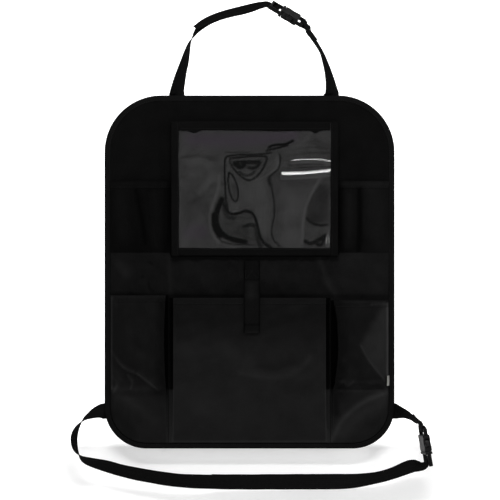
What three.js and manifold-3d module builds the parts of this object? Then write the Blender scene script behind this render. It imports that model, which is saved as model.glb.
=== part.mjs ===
// Car seat back organizer: a bound kick mat with sewn pockets, a clear tablet sleeve, a hook-and-loop tab,
// and two webbing straps that each close with a side-release buckle.
// Millimetres. +X is to the right seen from the front, +Z is up, and -Y points to the person who uses it.
// The origin is the middle of the panel's back face, the face that lies against the seat.
import * as THREE from "three";
import { mergeVertices } from "three/addons/utils/BufferGeometryUtils.js";
import Module from "manifold-3d";

const wasm = await Module();
wasm.setup();

// Driving sizes of the panel
const panelWidth = 450;
const panelHeight = 548;
const panelThickness = 4;
const topCornerRadius = 88;
const bottomCornerRadius = 65;
const cornerSteps = 8;
const pressedWidth = 3; // slope from the pressed rim to the full panel

// Cloth, tape and film
const fitGap = 0.3; // clearance between pieces that lie on each other
const clothThickness = 0.9;
const facingThickness = 0.8;
const tapeThickness = 0.8;
const filmThickness = 0.4;
const bindingWidth = 9;
const bindingProud = 0.4; // how far the folded tape stands out of each face of the panel

// The facing that covers the lower part of the panel
const facingTop = 30;

// Tablet sleeve
const sleeveCentre = 8; // it is sewn a little to the right of the middle
const sleeveWidth = 259;
const sleeveBottom = 25;
const sleeveTop = 233;
const sleeveDepth = 9;
const sleeveTape = 12;
const sleeveHemHeight = 14;
const filmSlack = 2.2;

// Upper side pockets
const upperMouth = 141;
const upperDepth = 11;
const upperPleat = 0.38; // share of the depth that the pleat folds in

// Lower pockets
const centreHalfWidth = 118;
const seamHalfWidth = 125.8;
const centreMouth = -40;
const leftMouth = -36;
const rightMouth = -44;
const centreDepth = 16;
const sideDepth = 14;
const gussetFold = 13;
const seamFlange = 3;
const leastFullness = 0.03; // the gussets stay folded where the pockets run flat into the binding
const hemHeight = 10;
const hemExtra = 0.7;
const creaseHeight = -179; // height of the fold that the side pockets keep from packing

// Closure tab with its hook and loop patches
const tabWidth = 25;
const tabCentre = 3.5;
const tabTop = 17;
const tabSewnLength = 27;
const tabBottom = -94;
const tabThickness = 1.4;
const patchThickness = 1;
const patchLength = 32;
const patchWidth = 22;
const patchEndMargin = 3;

// Side tag
const tagHeight = 20;
const tagReach = 7;
const tagThickness = 0.8;
const tagCentre = -169;

// Webbing and its sewn ends
const webbingWidth = 25;
const webbingThickness = 1.4;
const strapStep = 9;
const strapTurn = 11;
const sewnLength = 40;
const topStrapLeft = -113;
const topStrapRight = 127;
const bottomStrapRise = 58; // its seam above the panel's bottom edge
const drawnHalfWidth = 225;
const drawnHalfHeight = 274;
const foldLanding = 6; // how far from a bar the two layers of a fold come together

// Side-release buckle, along its own length from the socket's mouth
const buckleWidth = 34;
const buckleThickness = 11;
const socketLength = 26;
const barRadius = 2;
const socketBarAt = 33.5;
const strutLength = 8;
const ladderBarAt = -11;
const ladderEndAt = -21;
const ladderEndRaise = 1.5;
const ladderEndRadius = 1.8;
const ladderThickness = 6;
const plugBase = 4.2;
const windowStart = 6.5;
const windowEnd = 20.5;
const cavityHalfWidth = 14.3;
const cavityDepth = 24;
const armThickness = 5.4;
const buckleClearance = 0.4;

// Worked-out places
const halfWidth = panelWidth / 2;
const halfHeight = panelHeight / 2;
const rimThickness = panelThickness - 2 * (tapeThickness - bindingProud + fitGap);
const innerInset = bindingWidth + fitGap;
const panelFront = panelThickness + fitGap; // depth at which cloth lies on the panel
const facingFront = panelFront + facingThickness + fitGap; // depth at which cloth lies on the facing
const webbingPitch = webbingThickness + fitGap;
const barReach = barRadius + fitGap + webbingThickness / 2;

const blackCloth = new THREE.MeshStandardMaterial({ color: 0x17171a, roughness: 0.78, metalness: 0 });
const coatedCloth = new THREE.MeshStandardMaterial({ color: 0x1d1d1f, roughness: 0.55, metalness: 0 });
const blackTape = new THREE.MeshStandardMaterial({ color: 0x131314, roughness: 0.85, metalness: 0 });
const blackWebbing = new THREE.MeshStandardMaterial({ color: 0x151516, roughness: 0.7, metalness: 0 });
const blackPlastic = new THREE.MeshStandardMaterial({ color: 0x18181a, roughness: 0.38, metalness: 0 });
const blackFastener = new THREE.MeshStandardMaterial({ color: 0x101011, roughness: 0.95, metalness: 0 });
const tagCloth = new THREE.MeshStandardMaterial({ color: 0x2a2a2c, roughness: 0.8, metalness: 0 });
const clearFilm = new THREE.MeshStandardMaterial({
  color: 0x8f9096,
  roughness: 0.08,
  metalness: 0,
  transparent: true,
  opacity: 0.35,
});

const organizer = new THREE.Group();

function addPiece(name, geometry, material, parent = organizer) {
  const mesh = new THREE.Mesh(geometry, material);
  mesh.name = name;
  parent.add(mesh);
  return mesh;
}

function manifoldOf(geometry) {
  const bare = geometry.clone();
  bare.deleteAttribute("normal");
  bare.deleteAttribute("uv");
  const merged = mergeVertices(bare, 1e-4);
  return new wasm.Manifold(
    new wasm.Mesh({
      numProp: 3,
      vertProperties: new Float32Array(merged.attributes.position.array),
      triVerts: new Uint32Array(merged.index.array),
    }),
  );
}

function geometryOf(manifold) {
  const mesh = manifold.getMesh();
  return new THREE.BufferGeometry()
    .setAttribute("position", new THREE.BufferAttribute(mesh.vertProperties, 3))
    .setIndex(new THREE.BufferAttribute(mesh.triVerts, 1));
}

function joined(geometries) {
  return geometries.map(manifoldOf).reduce((whole, next) => whole.add(next));
}

function cutBy(manifold, tools) {
  return tools.map(manifoldOf).reduce((left, tool) => left.subtract(tool), manifold);
}

// A box between two corners
function boxBetween(low, high) {
  const size = high.map((value, axis) => value - low[axis]);
  const middle = high.map((value, axis) => (value + low[axis]) / 2);
  return new THREE.BoxGeometry(...size).translate(...middle);
}

// Turns a flat outline drawn in X and Z into a plate whose front lies at the given depth towards -Y
function plate(shape, backDepth, thickness, bevel = null) {
  const settings = { depth: thickness, bevelEnabled: false, curveSegments: cornerSteps };
  if (bevel) {
    settings.depth = thickness - 2 * bevel.height;
    settings.bevelEnabled = true;
    settings.bevelThickness = bevel.height;
    settings.bevelSize = bevel.size;
    settings.bevelSegments = bevel.steps;
  }
  const geometry = new THREE.ExtrudeGeometry(shape, settings);
  const start = bevel ? backDepth + bevel.height : backDepth;
  return geometry.rotateX(Math.PI / 2).translate(0, -start, 0);
}

// Corner centres of the panel's outline, with the angle at which each arc starts
function panelCorners() {
  return [
    { x: halfWidth - bottomCornerRadius, z: -halfHeight + bottomCornerRadius, radius: bottomCornerRadius, turn: -0.5 },
    { x: halfWidth - topCornerRadius, z: halfHeight - topCornerRadius, radius: topCornerRadius, turn: 0 },
    { x: -halfWidth + topCornerRadius, z: halfHeight - topCornerRadius, radius: topCornerRadius, turn: 0.5 },
    { x: -halfWidth + bottomCornerRadius, z: -halfHeight + bottomCornerRadius, radius: bottomCornerRadius, turn: 1 },
  ];
}

function panelShape(inset) {
  const shape = new THREE.Shape();
  for (const corner of panelCorners()) {
    const start = corner.turn * Math.PI;
    shape.absarc(corner.x, corner.z, corner.radius - inset, start, start + Math.PI / 2, false);
  }
  shape.closePath();
  return shape;
}

// The same outline as a ring of points, the same number at every inset
function panelRing(inset, depth) {
  return panelCorners().flatMap((corner) =>
    Array.from({ length: cornerSteps + 1 }, (_, step) => {
      const angle = (corner.turn + (0.5 * step) / cornerSteps) * Math.PI;
      const radius = corner.radius - inset;
      return new THREE.Vector3(
        corner.x + radius * Math.cos(angle),
        -depth,
        corner.z + radius * Math.sin(angle),
      );
    }),
  );
}

// A skin through rings of points. Each open ring holds one side of a wall and then its other side reversed,
// so the ends are closed by the strips between them. A crossed quad is split along its other diagonal.
function loft(rings, { endless = false, crossed = () => false } = {}) {
  const count = rings[0].length;
  const index = [];
  const quad = (a, b, c, d) => index.push(a, b, c, a, c, d);
  const steps = endless ? rings.length : rings.length - 1;
  for (let i = 0; i < steps; i += 1) {
    const next = (i + 1) % rings.length;
    for (let k = 0; k < count; k += 1) {
      const after = (k + 1) % count;
      const corners = [i * count + k, next * count + k, next * count + after, i * count + after];
      quad(...(crossed(i, k) ? [corners[3], ...corners.slice(0, 3)] : corners));
    }
  }
  if (!endless) {
    const last = (rings.length - 1) * count;
    for (let k = 0; k < count / 2 - 1; k += 1) {
      quad(k, k + 1, count - 2 - k, count - 1 - k);
      quad(last + count - 1 - k, last + count - 2 - k, last + k + 1, last + k);
    }
  }
  const geometry = new THREE.BufferGeometry().setAttribute(
    "position",
    new THREE.Float32BufferAttribute(rings.flat().flatMap((point) => point.toArray()), 3),
  );
  geometry.setIndex(index);
  return facingOut(geometry);
}

// Turns every face round if the skin's volume comes out negative
function facingOut(geometry) {
  const position = geometry.attributes.position;
  const index = geometry.index.array;
  const [a, b, c] = [new THREE.Vector3(), new THREE.Vector3(), new THREE.Vector3()];
  let volume = 0;
  for (let i = 0; i < index.length; i += 3) {
    a.fromBufferAttribute(position, index[i]);
    b.fromBufferAttribute(position, index[i + 1]);
    c.fromBufferAttribute(position, index[i + 2]);
    volume += a.dot(b.cross(c));
  }
  if (volume < 0) {
    for (let i = 0; i < index.length; i += 3) {
      [index[i + 1], index[i + 2]] = [index[i + 2], index[i + 1]];
    }
  }
  return geometry;
}

// A cloth wall from rows of {x, depth, z}. Depth is measured from the face that the cloth lies on,
// and each row may be thicker on its outer side, as a folded hem is.
function clothWall(rows, baseDepth, thickness, extraAt = () => 0) {
  const rings = rows.map((row, i) => {
    const extra = extraAt(i);
    const outer = [];
    const inner = [];
    row.forEach((point, j) => {
      const before = row[Math.max(j - 1, 0)];
      const after = row[Math.min(j + 1, row.length - 1)];
      const normals = [];
      if (j > 0) normals.push(wallNormal(before, point));
      if (j < row.length - 1) normals.push(wallNormal(point, after));
      const mean = normals.reduce((sum, normal) => sum.add(normal), new THREE.Vector2()).normalize();
      const mitre = 1 / Math.max(mean.dot(wallNormal(...(j > 0 ? [before, point] : [point, after]))), 0.45);
      const centre = baseDepth + thickness / 2 + point.depth;
      const floor = baseDepth + Math.min(0, point.depth);
      const place = (offset) =>
        new THREE.Vector3(
          point.x + mean.x * offset * mitre,
          -Math.max(floor, centre + mean.y * offset * mitre),
          point.z,
        );
      outer.push(place(thickness / 2 + extra));
      inner.push(place(-thickness / 2));
    });
    return [...outer, ...inner.reverse()];
  });
  return loft(rings);
}

function wallNormal(from, to) {
  return new THREE.Vector2(-(to.depth - from.depth), to.x - from.x).normalize();
}

function spread(start, end, shares) {
  return shares.map((share) => start + (end - start) * share);
}

// The panel: foam between two cloths, pressed thin round its rim, with a sunk place for each strap end
function buildPanel() {
  const slope = (panelThickness - rimThickness) / 2;
  const core = plate(panelShape(innerInset + pressedWidth), 0, panelThickness, {
    height: slope,
    size: pressedWidth,
    steps: 1,
  });
  const rim = plate(panelShape(tapeThickness + 2 * fitGap), slope, rimThickness);
  const sunk = webbingThickness + fitGap + 0.1;
  const half = webbingWidth / 2 + fitGap;
  const strapHeight = bottomStrapRise - halfHeight;
  const seats = [topStrapLeft, topStrapRight].map((x) =>
    boxBetween([x - half, -sunk, halfHeight - bindingWidth - sewnLength - fitGap], [x + half, 1, halfHeight]),
  );
  for (const side of [-1, 1]) {
    const reach = halfWidth - bindingWidth - sewnLength - fitGap;
    const ends = [side * reach, side * halfWidth].sort((a, b) => a - b);
    seats.push(boxBetween([ends[0], -sunk, strapHeight - half], [ends[1], 1, strapHeight + half]));
  }
  addPiece("back_panel", geometryOf(cutBy(joined([core, rim]), seats)), blackCloth);
}

// The binding: tape folded round the edge of the panel
function buildBinding() {
  const outer = tapeThickness;
  const full = panelThickness + bindingProud;
  const round = outer * 0.7;
  const section = [
    [bindingWidth, -bindingProud],
    [outer, -bindingProud],
    [round / 3, round],
    [0, panelThickness / 2],
    [round / 3, panelThickness - round],
    [outer, full],
    [bindingWidth, full],
    [bindingWidth, full - tapeThickness],
    [outer + fitGap / 2, full - tapeThickness],
    [outer + fitGap / 2, tapeThickness - bindingProud],
    [bindingWidth, tapeThickness - bindingProud],
  ];
  const rings = section.map(([inset, depth]) => panelRing(inset, depth));
  addPiece("edge_binding", loft(rings, { endless: true }), blackTape);
}

const sleeveLeft = sleeveCentre - sleeveWidth / 2;
const sleeveRight = sleeveCentre + sleeveWidth / 2;
const filmBack = panelThickness + sleeveDepth;
const tapeBack = filmBack + filmThickness + fitGap;

// The facing: a cloth that covers the panel from the seam under the upper pockets down to the binding,
// notched for the foot of the tablet sleeve
function buildFacing() {
  const shape = new THREE.Shape();
  const half = halfWidth - innerInset;
  const corners = panelCorners();
  const [right, left] = [corners[0], corners[3]];
  const notch = sleeveBottom - 2 * fitGap;
  shape.moveTo(half, facingTop);
  shape.lineTo(sleeveRight + 2 * fitGap, facingTop);
  shape.lineTo(sleeveRight + 2 * fitGap, notch);
  shape.lineTo(sleeveLeft - 2 * fitGap, notch);
  shape.lineTo(sleeveLeft - 2 * fitGap, facingTop);
  shape.lineTo(-half, facingTop);
  shape.absarc(left.x, left.z, left.radius - innerInset, Math.PI, 1.5 * Math.PI, false);
  shape.absarc(right.x, right.z, right.radius - innerInset, 1.5 * Math.PI, 2 * Math.PI, false);
  shape.closePath();
  addPiece("lower_facing", plate(shape, panelFront, facingThickness), blackCloth);
}

// How far the slack film stands out of its flat plane
function filmWave(x, z) {
  const u = (x - sleeveLeft) / sleeveWidth;
  const v = (z - sleeveBottom) / (sleeveTop - sleeveBottom);
  const hold = Math.min(1, 7 * Math.min(u, 1 - u) - 0.45, 6 * Math.min(v, 1 - v) - 0.55);
  const waves =
    0.5 * Math.sin(7.2 * u + 3.1 * v) + 0.35 * Math.sin(11 * v - 4 * u) + 0.3 * Math.sin(9 * u - 8 * v + 1);
  return filmSlack * Math.max(0, hold) * waves;
}

// The film of the tablet sleeve, held at its sides, foot and top by tape
function buildFilm() {
  const inset = tapeThickness + fitGap;
  const columns = spread(sleeveLeft + inset, sleeveRight - inset, [
    0, 0.04, 0.09, 0.15, 0.22, 0.29, 0.36, 0.43, 0.5, 0.57, 0.64, 0.71, 0.78, 0.85, 0.91, 0.96, 1,
  ]);
  const heights = spread(sleeveBottom + inset, sleeveTop - inset, [
    0, 0.06, 0.13, 0.21, 0.3, 0.39, 0.48, 0.57, 0.66, 0.75, 0.84, 0.93, 1,
  ]);
  const rows = heights.map((z) => columns.map((x) => ({ x, depth: filmWave(x, z), z })));
  addPiece("sleeve_film", clothWall(rows, filmBack, filmThickness), clearFilm);
}

// A closed outline in any two directions, extruded along +Z of its own frame
function extruded(points, length) {
  const shape = new THREE.Shape(points.map(([a, b]) => new THREE.Vector2(a, b)));
  return new THREE.ExtrudeGeometry(shape, { depth: length, bevelEnabled: false });
}

// Tape that stands from the panel and turns over the film's edge, as an outline of [across, depth]
function edgeTape(side) {
  const front = tapeBack + tapeThickness;
  return [
    [0, -panelFront],
    [side * tapeThickness, -panelFront],
    [side * tapeThickness, -tapeBack],
    [side * sleeveTape, -tapeBack],
    [side * sleeveTape, -front],
    [0, -front],
  ];
}

function buildSleeveTapes() {
  const height = sleeveTop - sleeveBottom;
  const tapes = { sleeve_tape_left: [sleeveLeft, 1], sleeve_tape_right: [sleeveRight, -1] };
  for (const [name, [x, side]] of Object.entries(tapes)) {
    addPiece(name, facingOut(manifoldReady(extruded(edgeTape(side), height))), blackTape).position.set(
      x,
      0,
      sleeveBottom,
    );
  }
  const between = sleeveWidth - 2 * (sleeveTape + fitGap);
  const foot = extruded(edgeTape(-1), between).rotateY(Math.PI / 2);
  addPiece("sleeve_tape_bottom", facingOut(manifoldReady(foot)), blackTape).position.set(
    sleeveCentre - between / 2,
    0,
    sleeveBottom,
  );
  addPiece("sleeve_hem_top", facingOut(manifoldReady(sleeveHem(between))), blackTape).position.set(
    sleeveCentre - between / 2,
    0,
    sleeveTop,
  );
}

// Tape folded down over both sides of the film's top edge, at the mouth of the sleeve
function sleeveHem(length) {
  const front = filmBack + filmThickness + fitGap;
  const back = filmBack - fitGap;
  const section = [
    [0, -(back - tapeThickness)],
    [sleeveHemHeight, -(back - tapeThickness)],
    [sleeveHemHeight, -back],
    [tapeThickness, -back],
    [tapeThickness, -front],
    [sleeveHemHeight, -front],
    [sleeveHemHeight, -(front + tapeThickness)],
    [0, -(front + tapeThickness)],
  ];
  return extruded(section, length).rotateY(Math.PI / 2);
}

// An extruded outline with its shared corners merged, so that it has an index
function manifoldReady(geometry) {
  const bare = geometry.clone();
  bare.deleteAttribute("normal");
  bare.deleteAttribute("uv");
  return mergeVertices(bare, 1e-4);
}

// Fullness of an upper pocket: share across it from its outer edge, share up it from its foot
function upperFullness(across, up) {
  const edge = 1 - Math.abs(2 * across - 1) ** 5;
  const rise = Math.sin((Math.PI / 2) * Math.min(1, up / 0.3)) * (1 - 0.22 * up ** 3);
  const fold = Math.exp(-(((across - 0.55 + 0.06 * up) / 0.07) ** 2));
  return upperDepth * edge * rise * (1 - upperPleat * fold * (1 - 0.4 * up));
}

function buildUpperPockets() {
  const across = [0, 0.02, 0.06, 0.13, 0.22, 0.32, 0.41, 0.47, 0.51, 0.55, 0.59, 0.65, 0.74, 0.84, 0.92, 0.98, 1];
  const up = [0, 0.03, 0.08, 0.16, 0.28, 0.45, 0.62, 0.78, 0.905, 0.915, 1];
  const edge = halfWidth - innerInset;
  const sides = {
    upper_left_pocket: [-edge, sleeveLeft - 4 * fitGap],
    upper_right_pocket: [edge, sleeveRight + 4 * fitGap],
  };
  for (const [name, [outer, inner]] of Object.entries(sides)) {
    const rows = up.map((rise) => {
      const z = facingTop + fitGap + (upperMouth - facingTop - fitGap) * rise;
      const row = across.map((share) => ({
        x: outer + (inner - outer) * share,
        depth: upperFullness(share, rise),
        z,
      }));
      return outer < inner ? row : row.reverse();
    });
    const hem = (i) => (up[i] > 0.91 ? hemExtra : 0);
    addPiece(name, clothWall(rows, panelFront, clothThickness, hem), blackCloth);
  }
}

// Heights of a lower pocket's rows: close together at the hem and where the cloth turns in to its foot
function lowerHeights(mouth) {
  const foot = -halfHeight + innerInset;
  const below = spread(mouth - hemHeight - 1, foot, [0, 0.13, 0.27, 0.4, 0.52, 0.6, 0.68, 0.78, 0.87, 0.94, 0.98, 1]);
  return [mouth, mouth - hemHeight, ...below];
}

const lowerHem = (i) => (i < 2 ? hemExtra : 0);

// How full the centre pocket is, from 1 at its mouth to 0 at its foot
function centreFullness(z) {
  const down = (centreMouth - z) / (centreMouth + halfHeight - innerInset);
  return Math.max(0, (1 - 0.12 * down) * (1 - down ** 4));
}

// Depth of the centre pocket's front, which sags a little between its edges
function centreFront(x, z) {
  const away = Math.min(1, Math.abs(x) / centreHalfWidth);
  return centreFullness(z) * (centreDepth + 1.5 * (1 - away ** 4));
}

// The centre pocket: a front with a bellows gusset down each side, sewn to the facing
function buildCentrePocket() {
  const columns = [-1, -0.96, -0.8, -0.55, -0.25, 0, 0.25, 0.55, 0.8, 0.96, 1];
  const flange = seamHalfWidth - 2 * fitGap;
  const rows = lowerHeights(centreMouth).map((z) => {
    const full = Math.max(centreFullness(z), leastFullness);
    const front = columns.map((share) => {
      const x = share * centreHalfWidth;
      return { x, depth: centreFront(x, z), z };
    });
    const gusset = (side) => [
      { x: side * flange, depth: 0, z },
      { x: side * (flange - seamFlange), depth: 0, z },
      { x: side * (flange - seamFlange - gussetFold * full), depth: 0.45 * centreDepth * full, z },
    ];
    return [...gusset(-1), ...front, ...gusset(1).reverse()];
  });
  addPiece("centre_pocket", clothWall(rows, facingFront, clothThickness, lowerHem), coatedCloth);
}

// Distance from the middle to the inner edge of the binding at a height
function bindingReach(z) {
  const corner = panelCorners()[0];
  const radius = corner.radius - innerInset;
  const below = Math.min(radius, Math.max(0, corner.z - z));
  return corner.x + Math.sqrt(Math.max(0, radius * radius - below * below));
}

// How full a side pocket is, from its mouth to its foot, fullest at the packing crease
function sideFullness(z, mouth) {
  if (z > creaseHeight) {
    const down = (mouth - z) / (mouth - creaseHeight);
    return 0.82 + 0.18 * down ** 2;
  }
  const down = (creaseHeight - z) / (creaseHeight + halfHeight - innerInset);
  return Math.max(0, (1 - down) * (1 + 0.35 * down));
}

// The lower side pockets: an outer edge under the binding, a front, and one gusset beside the centre pocket
function buildSidePockets() {
  const sides = {
    lower_left_pocket: { side: -1, mouth: leftMouth, bow: 3 },
    lower_right_pocket: { side: 1, mouth: rightMouth, bow: 9 },
  };
  for (const [name, { side, mouth, bow }] of Object.entries(sides)) {
    const rows = lowerHeights(mouth).map((z) => {
      const full = Math.max(sideFullness(z, mouth), leastFullness);
      const outer = bindingReach(z);
      const down = Math.min(1, (mouth - z) / (mouth - creaseHeight));
      const seam = seamHalfWidth + fitGap / 2;
      const edge = seam + seamFlange + 1 + bow * full * Math.sin(Math.PI * down);
      const front = [
        [0, 0],
        [0.03, 0.4],
        [0.09, 0.78],
        [0.2, 0.95],
        [0.38, 1.03],
        [0.56, 1.06],
        [0.74, 1.04],
        [0.9, 1.01],
        [1, 1],
      ].map(([share, height]) => ({
        x: side * (outer + (edge - outer) * share),
        depth: sideDepth * full * height,
        z,
      }));
      const gusset = [
        { x: side * (seam + seamFlange + gussetFold * full), depth: 0.42 * sideDepth * full, z },
        { x: side * (seam + seamFlange), depth: 0, z },
        { x: side * seam, depth: 0, z },
      ];
      const row = [...front, ...gusset];
      return side < 0 ? row : row.reverse();
    });
    addPiece(name, clothWall(rows, facingFront, clothThickness, lowerHem), coatedCloth);
  }
}

// A patch that follows the centre pocket's front at a distance above it
function frontPatch(above) {
  const columns = spread(tabCentre - patchWidth / 2, tabCentre + patchWidth / 2, [0, 0.5, 1]);
  const top = tabBottom + patchEndMargin + patchLength;
  const heights = spread(top, tabBottom + patchEndMargin, [0, 0.33, 0.67, 1]);
  const rows = heights.map((z) =>
    columns.map((x) => ({ x, depth: centreFront(x, z) + clothThickness + above, z })),
  );
  return clothWall(rows, facingFront, patchThickness);
}

// The closure tab: sewn to the facing, bridging to the pocket's mouth and lying on its patches
function buildTab() {
  addPiece("tab_loop_patch", frontPatch(fitGap), blackFastener);
  addPiece("tab_hook_patch", frontPatch(2 * fitGap + patchThickness), blackFastener);
  const stack = clothThickness + 3 * fitGap + 2 * patchThickness + tabThickness / 2;
  const sewn = facingFront + fitGap + tabThickness / 2;
  const sewnEnd = tabTop - tabSewnLength;
  const bridge = centreMouth - sewnEnd;
  const onPocket = (z) => new THREE.Vector3(tabCentre, -(facingFront + centreFront(tabCentre, z) + stack), z);
  const landing = onPocket(centreMouth);
  const points = [
    new THREE.Vector3(tabCentre, -sewn, tabTop),
    new THREE.Vector3(tabCentre, -sewn, (tabTop + sewnEnd) / 2),
    new THREE.Vector3(tabCentre, -sewn, sewnEnd + 4),
    new THREE.Vector3(tabCentre, -sewn, sewnEnd),
    new THREE.Vector3(tabCentre, -(sewn - landing.y) / 2, sewnEnd + bridge * 0.45),
    new THREE.Vector3(tabCentre, landing.y, sewnEnd + bridge * 0.85),
    ...spread(centreMouth - 8, tabBottom, [0, 0.33, 0.67, 1]).map(onPocket),
  ];
  const curve = new THREE.CatmullRomCurve3(points, false, "centripetal");
  const across = new THREE.Vector3(1, 0, 0);
  const stations = Array.from({ length: 23 }, (_, i) => ({
    centre: curve.getPointAt(i / 22),
    tangent: curve.getTangentAt(i / 22),
    across,
  }));
  addPiece("closure_tab", ribbon(stations, tabWidth, tabThickness), blackWebbing);
}

// A flat band through stations of centre, tangent and direction across
function ribbon(stations, width, thickness) {
  const rings = stations.map(({ centre, tangent, across }) => {
    const normal = new THREE.Vector3().crossVectors(across, tangent).normalize();
    const corner = (side, face) =>
      centre
        .clone()
        .addScaledVector(across, (side * width) / 2)
        .addScaledVector(normal, (face * thickness) / 2);
    return [corner(-1, 1), corner(1, 1), corner(1, -1), corner(-1, -1)];
  });
  return loft(rings, { crossed: (i, k) => (k === 2) !== Boolean(stations[i].returning) });
}

// The tag: a small folded label, left bare, sewn in at the binding and standing out over the right pocket
function buildTag() {
  const side = bindingReach(tagCentre);
  const back = facingFront + clothThickness + fitGap + sideDepth * 0.85;
  const tag = boxBetween(
    [side - tagReach, -(back + tagThickness), tagCentre - tagHeight / 2],
    [side + bindingWidth / 2, -back, tagCentre + tagHeight / 2],
  );
  const root = boxBetween(
    [side + bindingWidth / 2 - tagThickness, -back, tagCentre - tagHeight / 2],
    [side + bindingWidth / 2, -(panelThickness + bindingProud + fitGap), tagCentre + tagHeight / 2],
  );
  addPiece("side_tag", geometryOf(joined([tag, root])), tagCloth);
}

// Directions at a point of a strap: twist 0 shows its face to the front and 90 shows its edge
function strapAxes(tangent, twistDegrees) {
  const twist = THREE.MathUtils.degToRad(twistDegrees);
  const forward = new THREE.Vector3(0, -1, 0);
  const facing = forward.addScaledVector(tangent, -forward.dot(tangent)).normalize();
  const sideways = new THREE.Vector3().crossVectors(tangent, facing);
  const normal = facing.multiplyScalar(Math.cos(twist)).addScaledVector(sideways, Math.sin(twist));
  return { normal, across: new THREE.Vector3().crossVectors(tangent, normal) };
}

// Stations along a strap's route of [x, y, z, twist]. The route's first or last point, or both, only sets
// a direction, so the stretch that is used runs from one knot to another.
function strapStations(route, firstKnot, lastKnot) {
  const curve = new THREE.CatmullRomCurve3(
    route.map(([x, y, z]) => new THREE.Vector3(x, y, z)),
    false,
    "catmullrom",
  );
  const twists = new THREE.CatmullRomCurve3(
    route.map(([, , , twist]) => new THREE.Vector3(twist, 0, 0)),
    false,
    "catmullrom",
    0.5,
  );
  const spans = route.length - 1;
  const stations = [];
  for (let knot = firstKnot; knot < lastKnot; knot += 1) {
    const here = curve.getPoint(knot / spans);
    const there = curve.getPoint((knot + 1) / spans);
    const turn = Math.abs(route[knot + 1][3] - route[knot][3]);
    const steps = Math.max(1, Math.round(here.distanceTo(there) / strapStep), Math.ceil(turn / strapTurn));
    for (let step = 0; step < steps; step += 1) {
      stations.push(stationAt(curve, twists, (knot + step / steps) / spans));
    }
  }
  stations.push(stationAt(curve, twists, lastKnot / spans));
  return stations;
}

function stationAt(curve, twists, t) {
  const tangent = curve.getTangent(t);
  const axes = strapAxes(tangent, twists.getPoint(t).x);
  return { centre: curve.getPoint(t), tangent, ...axes };
}

// The straps' points are drawn for one size of panel, and move with its edges when that size changes
function raised([x, y, z, ...twist]) {
  return [x, y, z + halfHeight - drawnHalfHeight, ...twist];
}

function lowered([x, y, z, ...twist]) {
  const share = THREE.MathUtils.clamp(x / drawnHalfWidth, -1, 1);
  return [x + share * (halfWidth - drawnHalfWidth), y, z - halfHeight + drawnHalfHeight, ...twist];
}

// A buckle's place: a point on the strap, the way the strap runs, and its twist
function buckleFrame({ at, heading, twist }) {
  const along = new THREE.Vector3(...heading).normalize();
  const { normal } = strapAxes(along, twist);
  const outward = normal.negate();
  const across = new THREE.Vector3().crossVectors(along, outward);
  const origin = new THREE.Vector3(...at).addScaledVector(outward, barReach);
  const matrix = new THREE.Matrix4().makeBasis(across, along, outward).setPosition(origin);
  const point = (length, height) => new THREE.Vector3(0, length, height).applyMatrix4(matrix);
  const route = (length) => [...point(length, -barReach).toArray(), twist];
  return { matrix, along, outward, across, point, route };
}

// Stations through a buckle from points of [length, height] in its own frame, joined by a smooth curve
function buckleStations(frame, points, steps) {
  const curve = new THREE.CatmullRomCurve3(
    points.map(([length, height]) => frame.point(length, height)),
    false,
    "centripetal",
  );
  return Array.from({ length: steps + 1 }, (_, i) => ({
    centre: curve.getPointAt(i / steps),
    tangent: curve.getTangentAt(i / steps),
    across: frame.across.clone().negate(),
  }));
}

// Points of a half turn round a bar, starting under it
function halfTurn(barAt, side, steps = 6) {
  return Array.from({ length: steps + 1 }, (_, i) => {
    const angle = -Math.PI / 2 + (side * Math.PI * i) / steps;
    return [barAt + barReach * Math.cos(angle), barReach * Math.sin(angle)];
  });
}

// The same stations in the opposite order, moved away from the first layer. The last ones spring off it.
function returned(stations, distance, spring = 0) {
  const last = stations.length - 1;
  return [...stations].reverse().map(({ centre, tangent, across, normal }, i) => ({
    centre: centre.clone().addScaledVector(normal, -distance - spring * (i / last) ** 8),
    tangent: tangent.clone().negate(),
    across,
    returning: true,
  }));
}

// The long half of a strap: from its sewn end through the plug's adjuster and back as a loose tail.
// The strap reaches the ladder at the length entry along the buckle.
function longStrap(name, route, frame, { entry, tailLength, tailSpring }) {
  const straight = [entry - foldLanding, entry, entry + foldLanding].map(frame.route);
  const free = strapStations([...route, ...straight.slice(1)], 0, route.length);
  const tailHeight = webbingPitch - barReach;
  const under = spread(entry + 1.5, ladderBarAt, [0, 0.5]);
  const back = spread(ladderBarAt - barReach - 0.6, entry + 1.5, [0, 0.6, 1]);
  const through = buckleStations(
    frame,
    [
      ...under.map((length) => [length, -barReach]),
      ...halfTurn(ladderBarAt, 1),
      [ladderBarAt - barReach + 0.2, barReach * 0.5],
      [back[0], tailHeight * 0.3],
      [back[1], tailHeight],
      [back[2], tailHeight],
    ],
    26,
  );
  const tail = [];
  let run = 0;
  for (let i = free.length - 1; i >= 0 && run < tailLength; i -= 1) {
    if (tail.length) run += free[i].centre.distanceTo(free[i + 1].centre);
    tail.unshift(free[i]);
  }
  const layers = [...free, ...through, ...returned(tail, webbingPitch, tailSpring)];
  addPiece(name, ribbon(layers, webbingWidth, webbingThickness), blackWebbing);
}

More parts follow.
